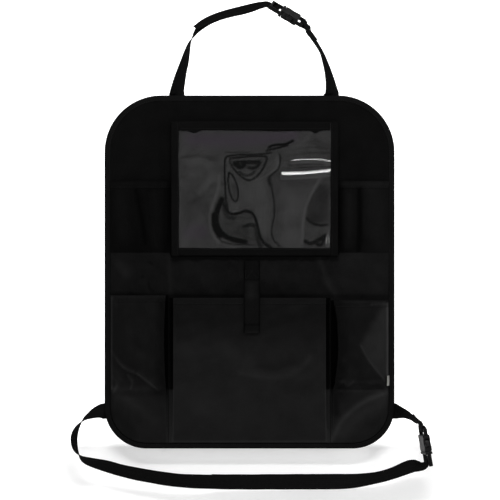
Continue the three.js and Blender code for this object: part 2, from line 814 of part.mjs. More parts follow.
// The short half of a strap: folded round the socket's bar, sewn back on itself, and on to its sewn end
function shortStrap(name, route, frame, foldLength) {
  const exit = socketBarAt + barRadius + 3;
  const straight = [exit - foldLanding, exit, exit + foldLanding].map(frame.route);
  const free = strapStations([...straight, ...route], 1, route.length + 2);
  const fold = [];
  let run = 0;
  for (let i = 1; i < free.length && run < foldLength; i += 1) {
    if (fold.length) run += free[i].centre.distanceTo(free[i - 1].centre);
    fold.push(free[i]);
  }
  const backHeight = webbingPitch - barReach;
  const turn = halfTurn(socketBarAt, -1).reverse();
  const through = buckleStations(
    frame,
    [
      [exit + foldLanding - 1.5, backHeight],
      [exit + foldLanding - 4, backHeight + 0.2],
      [exit + 0.5, barReach - 1.6],
      [socketBarAt + 2.2, barReach - 0.15],
      ...turn,
      [socketBarAt + 2.2, -barReach],
      [exit - 1, -barReach],
    ],
    18,
  );
  const layers = [...returned(fold, webbingPitch), ...through, ...free];
  addPiece(name, ribbon(layers, webbingWidth, webbingThickness), blackWebbing);
}

// A round bar across a buckle
function crossBar(length, height, radius) {
  return new THREE.CylinderGeometry(radius, radius, buckleWidth - 2, 12)
    .rotateZ(Math.PI / 2)
    .translate(0, length, height);
}

function roundedOutline(halfAcross, start, end, radius) {
  const shape = new THREE.Shape();
  const quarter = Math.PI / 2;
  shape.absarc(halfAcross - radius, start + radius, radius, -quarter, 0, false);
  shape.absarc(halfAcross - radius, end - radius, radius, 0, quarter, false);
  shape.absarc(radius - halfAcross, end - radius, radius, quarter, 2 * quarter, false);
  shape.absarc(radius - halfAcross, start + radius, radius, 2 * quarter, 3 * quarter, false);
  shape.closePath();
  return shape;
}

// A slab with rounded corners and softened edges, centred on its own thickness
function slab(shape, thickness, bevel) {
  return new THREE.ExtrudeGeometry(shape, {
    depth: thickness - 2 * bevel,
    bevelEnabled: bevel > 0,
    bevelThickness: bevel,
    bevelSize: bevel,
    bevelOffset: -bevel,
    bevelSegments: 2,
    curveSegments: 4,
  }).translate(0, 0, bevel - thickness / 2);
}

// The socket: a hollow housing open at its mouth and at both sides, with a bar for the webbing
function socketGeometry() {
  const half = buckleWidth / 2;
  const cavity = armThickness / 2 + buckleClearance;
  const strutHalf = (half - 0.3 - webbingWidth / 2 - 0.8) / 2;
  const housing = slab(roundedOutline(half, 0, socketLength, 3), buckleThickness, 1.2);
  const struts = [-1, 1].map((side) =>
    slab(roundedOutline(strutHalf, 0, strutLength + 6, 1.2), ladderThickness, 0.6).translate(
      side * (half - 0.3 - strutHalf),
      socketBarAt - strutLength - 3.4,
      0,
    ),
  );
  const whole = joined([housing, ...struts, crossBar(socketBarAt, 0, barRadius)]);
  const tools = [
    boxBetween([-cavityHalfWidth, -1, -cavity], [cavityHalfWidth, cavityDepth, cavity]),
    ...[-1, 1].map((side) =>
      boxBetween(
        [side > 0 ? cavityHalfWidth - 4 : -half - 1, windowStart, -cavity - 0.4],
        [side > 0 ? half + 1 : 4 - cavityHalfWidth, windowEnd, cavity + 0.4],
      ),
    ),
    ...[-1, 1].map((side) =>
      new THREE.CylinderGeometry(9.5, 9.5, buckleThickness + 2, 20)
        .rotateX(Math.PI / 2)
        .translate(side * (half + 6.8), (windowStart + windowEnd) / 2, 0),
    ),
  ];
  return geometryOf(cutBy(whole, tools));
}

// One spring arm of the plug, as an outline of [across, length] from its root to its barb and back
function armShape(side) {
  const shape = new THREE.Shape();
  const shoulder = windowStart + buckleClearance + 0.5;
  const tip = windowEnd - 1;
  shape.moveTo(side * 12.6, -plugBase / 2);
  shape.quadraticCurveTo(side * 13.8, shoulder / 2, side * 13.6, shoulder);
  shape.lineTo(side * 15.6, shoulder + 0.6);
  shape.quadraticCurveTo(side * 16.4, (shoulder + tip) / 2, side * 12.4, tip);
  shape.quadraticCurveTo(side * 10.6, tip + 0.6, side * 10.4, tip - 1.6);
  shape.quadraticCurveTo(side * 12.8, (shoulder + tip) / 2, side * 10.6, shoulder);
  shape.quadraticCurveTo(side * 9.6, shoulder / 2, side * 9.4, -plugBase / 2);
  shape.closePath();
  return shape;
}

// The plug: a cross piece with two spring arms and a guide tongue, and a ladder for the webbing
function plugGeometry() {
  const half = buckleWidth / 2;
  const frameEnd = ladderEndAt - ladderEndRadius - 0.5;
  const base = slab(roundedOutline(half, -plugBase - fitGap, -fitGap, 1.4), buckleThickness, 1);
  const sideWidth = (half - 0.3 - webbingWidth / 2 - 0.8) / 2;
  const rails = [-1, 1].map((side) =>
    slab(roundedOutline(sideWidth, frameEnd, -plugBase / 2 - fitGap, 1.4), ladderThickness, 0.6).translate(
      side * (half - 0.3 - sideWidth),
      0,
      0,
    ),
  );
  const arms = [-1, 1].map((side) =>
    new THREE.ExtrudeGeometry(armShape(side), { depth: armThickness, bevelEnabled: false, curveSegments: 5 }).translate(
      0,
      0,
      -armThickness / 2,
    ),
  );
  const tongue = slab(roundedOutline(2.4, -plugBase / 2, windowEnd - 3, 1.2), armThickness, 0.5);
  const bars = [
    crossBar(ladderBarAt, 0, barRadius),
    crossBar(ladderEndAt, ladderEndRaise, ladderEndRadius),
  ];
  return geometryOf(joined([base, ...rails, ...arms, tongue, ...bars]));
}

function buildBuckle(prefix, frame) {
  const group = new THREE.Group();
  group.matrixAutoUpdate = false;
  group.matrix.copy(frame.matrix);
  organizer.add(group);
  addPiece(prefix + "_buckle_socket", socketGeometry(), blackPlastic, group);
  addPiece(prefix + "_buckle_plug", plugGeometry(), blackPlastic, group);
}

// Points of a strap's sewn end, in its seat behind the panel and out over the binding, from its tip
// outwards. Place turns a distance in from the edge and a depth behind the panel into a point.
function sewnEnd(place, twist) {
  const seated = -fitGap / 2 - webbingThickness / 2;
  const over = bindingProud + fitGap + webbingThickness / 2;
  return [
    [bindingWidth + sewnLength, seated],
    [bindingWidth + sewnLength * 0.68, seated],
    [bindingWidth + sewnLength * 0.36, seated],
    [bindingWidth + 2, over],
    [2, over],
    [-0.6, over],
  ].map(([inset, behind]) => [...place(inset, behind), twist]);
}

// The top strap: an arch over the panel that goes round the posts of a headrest
function buildTopStrap() {
  const frame = buckleFrame({ at: raised([51, -18, 399.6]), heading: [0.863, 0, -0.505], twist: 112 });
  const left = [
    ...sewnEnd((inset, behind) => [topStrapLeft, behind, halfHeight - inset], 0),
    ...[
      [-112.6, -2.5, 280.5, 31],
      [-109.3, -7.5, 294.7, 41],
      [-105.2, -10, 310.2, 53],
      [-100.5, -11.5, 325.7, 62],
      [-96.6, -12.3, 341.2, 72],
      [-91.8, -13, 356.7, 88],
      [-86.9, -13, 364.5, 98],
      [-80.6, -13, 374.4, 112],
      [-67.5, -13, 385.4, 120],
      [-50.4, -13, 393.8, 121],
      [-30.3, -13.5, 399.8, 122],
      [-11.7, -14.5, 404.2, 124],
      [7, -16, 409, 121],
      [19, -17.2, 412, 115],
    ].map(raised),
  ];
  const right = [
    ...[
      [90.1, -17.4, 372.3, 108],
      [101.1, -16.6, 356.7, 107],
      [110.7, -15.4, 341.2, 105],
      [116.7, -14, 325.7, 111],
      [121.4, -12, 310.2, 118],
      [124.9, -8.5, 294.7, 128],
      [127, -3, 280.5, 146],
    ].map(raised),
    ...sewnEnd((inset, behind) => [topStrapRight, behind, halfHeight - inset], 180).reverse(),
  ];
  longStrap("top_strap_left", left, frame, { entry: ladderEndAt - ladderEndRadius - 3, tailLength: 110, tailSpring: 3.5 });
  shortStrap("top_strap_right", right, frame, 24);
  buildBuckle("top", frame);
}

// The bottom strap: a loop under the panel that goes round the backrest
function buildBottomStrap() {
  const strapHeight = bottomStrapRise - halfHeight;
  const frame = buckleFrame({ at: lowered([270.6, -15, -277.5]), heading: [-0.166, 0, 0.986], twist: -80 });
  const left = [
    ...sewnEnd((inset, behind) => [inset - halfWidth, behind, strapHeight], 0),
    ...[
      [-234, -1, -217.9, 36],
      [-244.4, -7, -222, 62],
      [-256.8, -12, -229, 85],
      [-266.5, -13, -240.5, 103],
      [-271.6, -13, -256, 112],
      [-269.5, -13, -273, 103],
      [-264, -13, -282.5, 85],
      [-256.8, -12.5, -289.7, 63],
      [-244.4, -11.5, -294.6, 50],
      [-219.6, -9.5, -301.3, 37],
      [-197.9, -8, -307.7, 34],
      [-160.6, -6.5, -315.6, 29],
      [-104.8, -5.5, -323.6, 24],
      [-30, -4.5, -325.8, 14],
      [44, -4.5, -325.6, 6],
      [118.6, -5.5, -325, -8],
      [155.8, -7.5, -323.8, -31],
      [193, -10.5, -318.6, -52],
      [222, -12.5, -310.6, -52],
      [248.9, -14, -300.2, -42],
      [260, -15, -299.5, -56],
      [268, -15, -299.5, -70],
    ].map(lowered),
  ];
  const right = [
    ...[
      [260.5, -14.6, -232.6, -78],
      [251.2, -13, -225.2, -70],
      [242.7, -9.5, -220, -58],
      [233.4, -4, -216.9, -40],
    ].map(lowered),
    ...sewnEnd((inset, behind) => [halfWidth - inset, behind, strapHeight], 0).reverse(),
  ];
  longStrap("bottom_strap_left", left, frame, { entry: ladderEndAt + ladderEndRadius + 2, tailLength: 335, tailSpring: 0 });
  shortStrap("bottom_strap_right", right, frame, 12);
  buildBuckle("bottom", frame);
}

buildPanel();
buildBinding();
buildFacing();
buildFilm();
buildSleeveTapes();
buildUpperPockets();
buildCentrePocket();
buildSidePockets();
buildTab();
buildTag();
buildTopStrap();
buildBottomStrap();

export default organizer;
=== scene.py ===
import math

import bpy
import numpy as np
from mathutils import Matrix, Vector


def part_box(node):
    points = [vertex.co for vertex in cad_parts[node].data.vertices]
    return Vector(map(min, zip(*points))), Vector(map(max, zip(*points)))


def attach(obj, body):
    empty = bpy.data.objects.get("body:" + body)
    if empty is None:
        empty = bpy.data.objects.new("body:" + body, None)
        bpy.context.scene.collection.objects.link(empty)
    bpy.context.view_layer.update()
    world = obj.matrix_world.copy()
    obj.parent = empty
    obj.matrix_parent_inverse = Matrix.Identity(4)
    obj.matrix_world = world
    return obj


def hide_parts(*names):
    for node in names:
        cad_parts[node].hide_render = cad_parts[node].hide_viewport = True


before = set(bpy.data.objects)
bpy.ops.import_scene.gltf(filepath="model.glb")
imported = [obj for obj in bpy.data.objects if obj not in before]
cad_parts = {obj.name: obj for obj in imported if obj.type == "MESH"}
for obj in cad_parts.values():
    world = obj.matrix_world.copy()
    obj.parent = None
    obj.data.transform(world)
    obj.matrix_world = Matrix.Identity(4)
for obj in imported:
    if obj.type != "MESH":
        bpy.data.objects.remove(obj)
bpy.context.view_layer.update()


# View and studio
# The organizer hangs against a white paper backdrop and is seen straight from the front, level with its
# middle. A wide lamp and a strip lamp hang above it in front, and the strip mirrors in the film's ridges. A
# small lamp on each side lifts the creases, and one low behind it lights the back.
view_distance = 4.0
view_width = 0.7756
bpy.ops.object.select_all(action="DESELECT")
bpy.ops.object.camera_add(
    location=(0.0007, -view_distance - 0.004, 0.0341), rotation=(math.pi / 2, 0, 0)
)
camera = bpy.context.object
camera.data.sensor_width = 36
camera.data.lens = camera.data.sensor_width * view_distance / view_width
bpy.context.scene.camera = camera
bpy.context.scene.view_settings.view_transform = "Standard"


def soft_lamp(name, place, aim, width, height, power):
    """A rectangular lamp that points from its place to its aim"""
    bpy.ops.object.light_add(type="AREA", location=place)
    lamp = bpy.context.object
    lamp.name = name
    lamp.data.shape = "RECTANGLE"
    lamp.data.size = width
    lamp.data.size_y = height
    lamp.data.energy = power
    direction = np.array(aim) - np.array(place)
    flat = math.hypot(direction[0], direction[1])
    tilt = math.pi / 2 + math.atan2(direction[2], flat)
    lamp.rotation_euler = (tilt, 0, math.atan2(-direction[0], direction[1]))
    return lamp


soft_lamp("upper_lamp", (-0.25, -1.75, 1.9), (0, 0, 0), 1.6, 0.7, 21)
soft_lamp("strip_lamp", (0.2, -1.9, 1.75), (0, 0, 0.1), 1.7, 0.15, 36)
rear_lamp = soft_lamp("rear_lamp", (0.3, 1.7, -0.1), (0, 0, 0), 1.6, 0.4, 40)
rear_lamp.visible_glossy = False
soft_lamp("left_lamp", (-2.0, -1.1, -0.05), (0, 0, -0.1), 0.4, 1.0, 9)
soft_lamp("right_lamp", (2.0, -1.1, -0.05), (0, 0, -0.1), 0.2, 1.0, 16)


def colour(text):
    """The linear colour of an sRGB hex value"""
    parts = [int(text[i : i + 2], 16) / 255 for i in (1, 3, 5)]
    return (*[p / 12.92 if p <= 0.04045 else ((p + 0.055) / 1.055) ** 2.4 for p in parts], 1)


def set_up(tree, node, settings=None, links=None):
    """Gives a node its settings (properties in lower case, sockets by name or number) and its links"""
    for key, value in (settings or {}).items():
        if isinstance(key, str) and key[0].islower():
            setattr(node, key, value)
        else:
            node.inputs[key].default_value = value
    for key, source in (links or {}).items():
        tree.links.new(source, node.inputs[key])
    return node


def add(tree, kind, settings=None, links=None):
    """Adds a shader node"""
    return set_up(tree, tree.nodes.new("ShaderNode" + kind), settings, links)


def started(name):
    """A new material with its node tree and its shader"""
    material = bpy.data.materials.new(name)
    material.use_nodes = True
    return material, material.node_tree, material.node_tree.nodes["Principled BSDF"]


def studio_paper(name, clear_above=None, from_behind=False):
    """White paper that keeps soft shadows, pure white to the camera above a height"""
    material, tree, _ = started(name)
    tree.nodes.clear()
    ray = add(tree, "LightPath")
    glow = ray.outputs["Is Camera Ray"]
    strength = 0.36
    fade = 0.012
    if clear_above is not None:
        place = add(tree, "TexCoord")
        height = add(tree, "SeparateXYZ", None, {0: place.outputs["Object"]})
        span = {1: clear_above - fade, 2: clear_above, 3: strength, 4: 1.2}
        lift = add(tree, "MapRange", span, {0: height.outputs["Z"]})
        seen = add(tree, "Math", {"operation": "MULTIPLY"}, {0: glow, 1: lift.outputs[0]})
    else:
        seen = add(tree, "Math", {"operation": "MULTIPLY", 1: strength}, {0: glow})
    paper = add(tree, "BsdfDiffuse", {"Color": colour("#e4e4e4")})
    light = add(tree, "Emission", {"Color": (1, 1, 1, 1)}, {"Strength": seen.outputs[0]})
    front = add(tree, "AddShader", None, {0: paper.outputs[0], 1: light.outputs[0]})
    result = front
    if from_behind:
        side = add(tree, "NewGeometry")
        face = add(tree, "Math", {"operation": "SUBTRACT"}, {0: glow, 1: side.outputs["Backfacing"]})
        shown = add(tree, "Clamp", None, {0: face.outputs[0]})
        clear = add(tree, "BsdfTransparent")
        mixed = {0: shown.outputs[0], 1: clear.outputs[0], 2: front.outputs[0]}
        result = add(tree, "MixShader", None, mixed)
    add(tree, "OutputMaterial", None, {"Surface": result.outputs[0]})
    return material


floor_height = -0.375
paper_size = 9.0
backdrop_place = 0.022
bpy.ops.mesh.primitive_plane_add(size=paper_size, location=(0, 0, floor_height))
floor = bpy.context.object
floor.name = "studio_floor"
floor.data.materials.append(studio_paper("white_floor_paper"))
backdrop_middle = (0, backdrop_place, floor_height + paper_size / 2)
bpy.ops.mesh.primitive_plane_add(size=paper_size, location=backdrop_middle, rotation=(math.pi / 2, 0, 0))
backdrop = bpy.context.object
backdrop.name = "studio_backdrop"
bpy.ops.object.transform_apply(location=True, rotation=True, scale=True)
backdrop.data.materials.append(studio_paper("white_backdrop_paper", -0.262, from_behind=True))

world = bpy.data.worlds.new("studio")
bpy.context.scene.world = world
world.use_nodes = True
sky = world.node_tree
sky.nodes.clear()
sky_ray = add(sky, "LightPath")
room = add(sky, "Background", {"Color": (1, 1, 1, 1), "Strength": 0.19})
white = add(sky, "Background", {"Color": (1, 1, 1, 1), "Strength": 1.0})
seen_and_lit = {0: sky_ray.outputs["Is Camera Ray"], 1: room.outputs[0], 2: white.outputs[0]}
surround = add(sky, "MixShader", None, seen_and_lit)
add(sky, "OutputWorld", None, {"Surface": surround.outputs[0]})


# Back panel
# Two layers of woven polyester with a thin foam core, quilted together only at the rim, where the binding
# presses them flat. The foam leaves the face softly uneven, and its corners are cut as large arcs.
half_width = 225.0
half_height = 274.0
top_radius = 88.0
bottom_radius = 65.0
smooth_below = math.radians(48)


def reach(z, inset=0.0):
    """Distance from the middle to the panel's edge at a height, less an inset, in millimetres"""
    radius = np.where(z > 0, top_radius, bottom_radius)
    past = np.clip(np.abs(z) - half_height + radius, 0, radius - inset)
    return half_width - radius + np.sqrt((radius - inset) ** 2 - past**2)


def panel_rows(inset, step=4.0, top=None):
    """Heights of rows that follow the rounded corners, from the foot up"""
    turn = np.radians(np.linspace(0, 90, 15))
    foot = bottom_radius - half_height - (bottom_radius - inset) * np.cos(turn)
    if top is not None:
        return np.concatenate([foot, np.arange(foot[-1] + step, top - step / 2, step), [top]])
    head = half_height - top_radius + (top_radius - inset) * np.sin(turn)
    return np.concatenate([foot, np.arange(foot[-1] + step, head[0] - step / 2, step), head])


def spread(v, values):
    """The value at v, for values spread evenly from -1 to 1"""
    return np.interp(v, np.linspace(-1, 1, len(values)), values)


def points_of(mesh):
    """The points of a mesh, in metres"""
    places = np.empty(len(mesh.vertices) * 3)
    mesh.vertices.foreach_get("co", places)
    return places.reshape(-1, 3)


def cloth(name, columns, rows, place, thickness):
    """A sheet whose points go where place(u, v) puts them, in millimetres, with u and v from -1 to 1.
    Its flat pattern is its UV, in metres. Returns the piece, the size it is cut to and its area."""
    bpy.ops.object.select_all(action="DESELECT")
    bpy.ops.mesh.primitive_grid_add(x_subdivisions=columns, y_subdivisions=rows, size=2)
    piece = bpy.context.object
    piece.name = name
    mesh = piece.data
    mesh.name = name
    u, v, _ = points_of(mesh).T
    points = np.column_stack(np.broadcast_arrays(*place(u, v))) / 1000
    mesh.vertices.foreach_set("co", points.ravel())
    order = np.lexsort((np.round(u, 5), np.round(v, 5))).reshape(rows + 1, columns + 1)
    net = points[order]
    across = np.linalg.norm(np.diff(net, axis=1), axis=2)
    along = np.linalg.norm(np.diff(net, axis=0), axis=2)
    run = np.pad(np.cumsum(across, axis=1), ((0, 0), (1, 0)))
    rise = np.pad(np.cumsum(along, axis=0), ((1, 0), (0, 0)))
    pattern = np.empty((len(u), 2))
    pattern[order.ravel(), 0] = (run - run[:, -1:] / 2).ravel()
    pattern[order.ravel(), 1] = rise.ravel()
    corners = np.empty(len(mesh.loops), dtype=int)
    mesh.loops.foreach_get("vertex_index", corners)
    layer = mesh.uv_layers[0]
    layer.name = "cloth"
    layer.data.foreach_set("uv", pattern[corners].ravel())
    cell = np.cross(net[1:, 1:] - net[:-1, :-1], net[:-1, 1:] - net[1:, :-1])
    area = float(np.linalg.norm(cell, axis=2).sum() / 2)
    if thickness:
        bpy.ops.object.modifier_add(type="SOLIDIFY")
        wall = piece.modifiers[-1]
        wall.thickness = thickness / 1000
        wall.offset = -1
        bpy.ops.object.modifier_apply(modifier=wall.name)
    bpy.ops.object.shade_smooth_by_angle(angle=smooth_below)
    cut = (float(run[:, -1].max()), float(rise[-1].max()))
    return piece, cut, area


def reseat(piece, move):
    """Moves a piece's points where move(x, y, z) puts them, in millimetres"""
    mesh = piece.data
    x, y, z = points_of(mesh).T * 1000
    mesh.vertices.foreach_set("co", (np.column_stack(move(x, y, z)) / 1000).ravel())
    mesh.update()


def woven(name, yarn, light_yarn, pitch, relief, sheen, specular, roughness=0.86, crumple=0.0005):
    """Woven cloth: its yarns cross over and under each other at a pitch in millimetres"""
    material, tree, shader = started(name)
    flat = add(tree, "UVMap", {"uv_map": "cloth"})
    bands = math.pi / 20 / (pitch / 1000)
    yarns = []
    for way in ("X", "Y"):
        spread = {"bands_direction": way, "Scale": bands, "Distortion": 0.0}
        wave = add(tree, "TexWave", spread, {"Vector": flat.outputs[0]})
        signed = {"operation": "MULTIPLY_ADD", 1: 2.0, 2: -1.0}
        yarns.append(add(tree, "Math", signed, {0: wave.outputs["Fac"]}).outputs[0])
    crossing = add(tree, "Math", {"operation": "MULTIPLY"}, {0: yarns[0], 1: yarns[1]})
    height = add(tree, "Math", {"operation": "MULTIPLY_ADD", 1: 0.5, 2: 0.5}, {0: crossing.outputs[0]})
    place = add(tree, "TexCoord")
    uneven = add(tree, "TexNoise", {"Scale": 38.0, "Detail": 5.0}, {"Vector": place.outputs["Object"]})
    slub = add(tree, "TexNoise", {"Scale": 420.0, "Detail": 2.0}, {"Vector": flat.outputs[0]})
    mixed = add(tree, "Math", {"operation": "MULTIPLY"}, {0: height.outputs[0], 1: slub.outputs["Fac"]})
    yarn_tones = {"data_type": "RGBA", 6: colour(yarn), 7: colour(light_yarn)}
    tone = add(tree, "Mix", yarn_tones, {0: mixed.outputs[0]})
    faded = add(tree, "MapRange", {1: 0.3, 2: 0.7, 3: 0.82, 4: 1.18}, {0: uneven.outputs["Fac"]})
    multiplied = {"data_type": "RGBA", "blend_type": "MULTIPLY", 0: 1.0}
    final = add(tree, "Mix", multiplied, {6: tone.outputs[2], 7: faded.outputs[0]})
    # The first mark paints the cloth paler, partly as wear on creases and partly as painted highlight; the
    # second paints it darker as painted shade.
    for use, mark_tone in (("wear_and_highlight", "#5a5a5a"), ("shade", "#020202")):
        used = add(tree, "Attribute", {"attribute_name": use})
        marked = {0: used.outputs["Fac"], 6: final.outputs[2]}
        final = add(tree, "Mix", {"data_type": "RGBA", 7: colour(mark_tone)}, marked)
    dullness = {1: 0.3, 2: 0.7, 3: roughness - 0.07, 4: roughness + 0.07}
    dull = add(tree, "MapRange", dullness, {0: uneven.outputs["Fac"]})
    soft = add(tree, "Bump", {"Strength": 0.7, "Distance": crumple}, {"Height": uneven.outputs["Fac"]})
    heights = {"Height": mixed.outputs[0], "Normal": soft.outputs[0]}
    weave = add(tree, "Bump", {"Strength": 0.8, "Distance": relief / 1000}, heights)
    lustre = {"Specular IOR Level": specular, "Sheen Weight": sheen, "Sheen Tint": colour("#8c8c90")}
    driven = {"Base Color": final.outputs[2], "Roughness": dull.outputs[0], "Normal": weave.outputs[0]}
    set_up(tree, shader, {**lustre, "Sheen Roughness": 0.5}, driven)
    return material


def dress(piece, material, finish, *nodes):
    """Gives a piece its material and its place on the organizer"""
    piece.data.materials.clear()
    piece.data.materials.append(material)
    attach(piece, "root")
    if nodes:
        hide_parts(*nodes)


panel_trim = 1.4
pressed_rim = 8.5
panel_heights = panel_rows(panel_trim)


def panel_face(u, v):
    """A flat place on the panel, before its foam swells it"""
    z = spread(v, panel_heights)
    x = u * reach(z, panel_trim)
    return x, np.full_like(x, -3.0), z


def panel_relief(x, z):
    """How far a place is from the pressed rim, as a share of the full thickness"""
    side = reach(z) - np.abs(x)
    end = half_height - np.abs(z)
    corner = np.where(z > 0, top_radius, bottom_radius)
    past_side = np.maximum(np.abs(x) - half_width + corner, 0)
    past_end = np.maximum(np.abs(z) - half_height + corner, 0)
    out = np.hypot(past_side, past_end)
    rim = np.minimum(np.minimum(side, end), np.where(out > 0, corner - out, 999))
    return np.clip((rim - pressed_rim) / 6, 0, 1) ** 0.6


def panel_form(x, y, z):
    """The padded place of a point: pressed at the rim, softly uneven within it"""
    full = panel_relief(x, z)
    dents = 0.22 * np.sin(x / 23 + 1.3 * np.sin(z / 41)) * np.sin(z / 31 + 0.8 * np.sin(x / 37))
    front = -(3.35 + full * (0.42 + dents))
    back = -(0.75 - full * (0.5 + 0.8 * dents))
    return x, np.where(y < -2.0, front, back), z


back_panel, _, _ = cloth("panel_body", 112, len(panel_heights) - 1, panel_face, 2.6)
reseat(back_panel, panel_form)
# Polyester oxford of about 0.5 mm yarns, drawn at 1.1 mm so that it shows. Matt, nearly black and a little
# mottled.
panel_cloth = woven("black_polyester_oxford", "#060606", "#121212", 1.1, 0.25, 0.004, 0.014)
dress(back_panel, panel_cloth, "panel_cloth", "back_panel")


# Edge binding
# A woven tape folded over the raw rim of the panel and sewn through in one row all round. On the corners
# its inner edge has more length than it needs, so it puckers between the stitches.
tape_width = 9.0
edge_arcs = [
    (side * (half_width - radius), end * (half_height - radius), radius, start)
    for side, end, radius, start in (
        (1, -1, bottom_radius, -90),
        (1, 1, top_radius, 0),
        (-1, 1, top_radius, 90),
        (-1, -1, bottom_radius, 180),
    )
]
edge_points = []
edge_outward = []
for arc_x, arc_z, arc_radius, arc_start in edge_arcs:
    for angle in np.radians(np.linspace(arc_start, arc_start + 90, 60)):
        edge_outward.append((math.cos(angle), math.sin(angle)))
        edge_points.append((arc_x + arc_radius * math.cos(angle), arc_z + arc_radius * math.sin(angle)))
edge_points = np.array(edge_points + edge_points[:1])
edge_outward = np.array(edge_outward + edge_outward[:1])
edge_run = np.concatenate([[0], np.cumsum(np.linalg.norm(np.diff(edge_points, axis=0), axis=1))])


def on_edge(run, inset):
    """A place along the panel's edge, moved inwards by an inset, in millimetres"""
    out = np.column_stack([np.interp(run, edge_run, edge_outward[:, i]) for i in (0, 1)])
    at = np.column_stack([np.interp(run, edge_run, edge_points[:, i]) for i in (0, 1)])
    return (at - out * np.reshape(inset, (-1, 1))).T


binding_insets = [tape_width, 8.4, 5.0, 2.0, 0.6, 0.0, 0.0, 0.6, 2.0, 5.0, 8.4, tape_width]
binding_depths = [0.32, 0.42, 0.42, 0.30, -0.35, -1.5, -2.6, -3.7, -4.35, -4.45, -4.42, -4.1]
pucker_pitch = 8.96


def binding_place(u, v):
    """A place on the folded tape, along the edge by u and round the fold by v"""
    run = (u + 1) / 2 * edge_run[-1]
    inset = spread(v, binding_insets)
    depth = spread(v, binding_depths)
    free = np.clip(inset / tape_width, 0, 1)
    turn = run * 2 * math.pi / pucker_pitch
    pucker = 0.16 * np.sin(turn + 1.5 * np.sin(run / 47)) * free
    inset = inset + 0.35 * np.sin(turn + 0.9) * free**2
    x, z = on_edge(run, inset)
    return x, depth - np.sign(-depth - 2) * pucker * 0.8, z


binding, binding_cut, binding_area = cloth("binding_tape", 840, 22, binding_place, 0.65)
bpy.ops.object.mode_set(mode="EDIT")
bpy.ops.mesh.select_all(action="SELECT")
bpy.ops.mesh.remove_doubles(threshold=0.00001)
bpy.ops.object.mode_set(mode="OBJECT")
# Polyester grosgrain tape: fine ribs across it, a shade blacker and smoother than the panel
binding_tape = woven("black_grosgrain_tape", "#070707", "#141414", 0.9, 0.18, 0.006, 0.03, 0.72)
dress(binding, binding_tape, "tape", "edge_binding")


def one_stitch():
    """The points and faces of one stitch of thread, 1 long, thicker in the middle than at its ends"""
    bpy.ops.object.select_all(action="DESELECT")
    bpy.ops.mesh.primitive_uv_sphere_add(segments=6, ring_count=4, radius=0.5, rotation=(0, math.pi / 2, 0))
    bpy.ops.object.transform_apply(rotation=True)
    mesh = bpy.context.object.data
    points = np.array([v.co[:] for v in mesh.vertices])
    faces = [list(p.vertices) for p in mesh.polygons]
    bpy.data.objects.remove(bpy.context.object)
    bpy.data.meshes.remove(mesh)
    return points, faces


def sewn(name, rows, pitch=3.2, thread=0.6):
    """Rows of stitches. Each row is its path and the side it lies on, in millimetres"""
    shape, sides = one_stitch()
    points, faces = [], []
    for path, outward in rows:
        path, outward = np.array(path, dtype=float), np.array(outward, dtype=float)
        run = np.concatenate([[0], np.cumsum(np.linalg.norm(np.diff(path, axis=0), axis=1))])
        count = max(1, int(round(run[-1] / pitch)))
        stops = np.linspace(0, run[-1], count + 1)
        ends = np.column_stack([np.interp(stops, run, path[:, i]) for i in range(3)])
        for start, stop in zip(ends[:-1], ends[1:]):
            way = stop - start
            length = np.linalg.norm(way)
            way = way / length
            side = np.cross(outward, way)
            side = side / np.linalg.norm(side)
            up = np.cross(way, side)
            middle = (start + stop) / 2
            placed = (
                middle
                + np.outer(shape[:, 0] * length * 0.8, way)
                + np.outer(shape[:, 1] * thread, side)
                + np.outer(shape[:, 2] * thread * 0.8, up)
            )
            faces += [[i + len(points) * len(shape) for i in face] for face in sides]
            points.append(placed)
    mesh = bpy.data.meshes.new(name)
    mesh.from_pydata((np.concatenate(points) / 1000).tolist(), [], faces)
    mesh.polygons.foreach_set("use_smooth", [True] * len(mesh.polygons))
    piece = bpy.data.objects.new(name, mesh)
    bpy.context.collection.objects.link(piece)
    return piece


def thread_finish(name, tone):
    """Twisted polyester thread: two plies wind round each other and catch a little light"""
    material, tree, shader = started(name)
    place = add(tree, "TexCoord")
    twist = {"bands_direction": "DIAGONAL", "Scale": 380.0, "Distortion": 1.0}
    ply = add(tree, "TexWave", twist, {"Vector": place.outputs["Object"]})
    ply_tones = {"data_type": "RGBA", 6: colour("#0b0b0b"), 7: colour(tone)}
    tint = add(tree, "Mix", ply_tones, {0: ply.outputs["Fac"]})
    groove = add(tree, "Bump", {"Strength": 0.6, "Distance": 0.0001}, {"Height": ply.outputs["Fac"]})
    driven = {"Base Color": tint.outputs[2], "Normal": groove.outputs[0]}
    set_up(tree, shader, {"Roughness": 0.6, "Specular IOR Level": 0.05}, driven)
    return material


# Polyester sewing thread, 0.3 mm, drawn at 0.6 mm so that the seams show as they do on the real one
sewing_thread = thread_finish("black_polyester_thread", "#1c1c1c")
seam_inset, seam_front, seam_back = 7.2, -4.62, 0.6
seam_x, seam_z = on_edge(np.linspace(0, edge_run[-1], 900), np.full(900, seam_inset))
binding_rows = [
    (np.column_stack([seam_x, np.full(900, depth), seam_z]), (0, outward, 0))
    for depth, outward in ((seam_front, -1), (seam_back, 1))
]
binding_seams = sewn("binding_seams", binding_rows, pitch=3.4)
dress(binding_seams, sewing_thread, "tape")


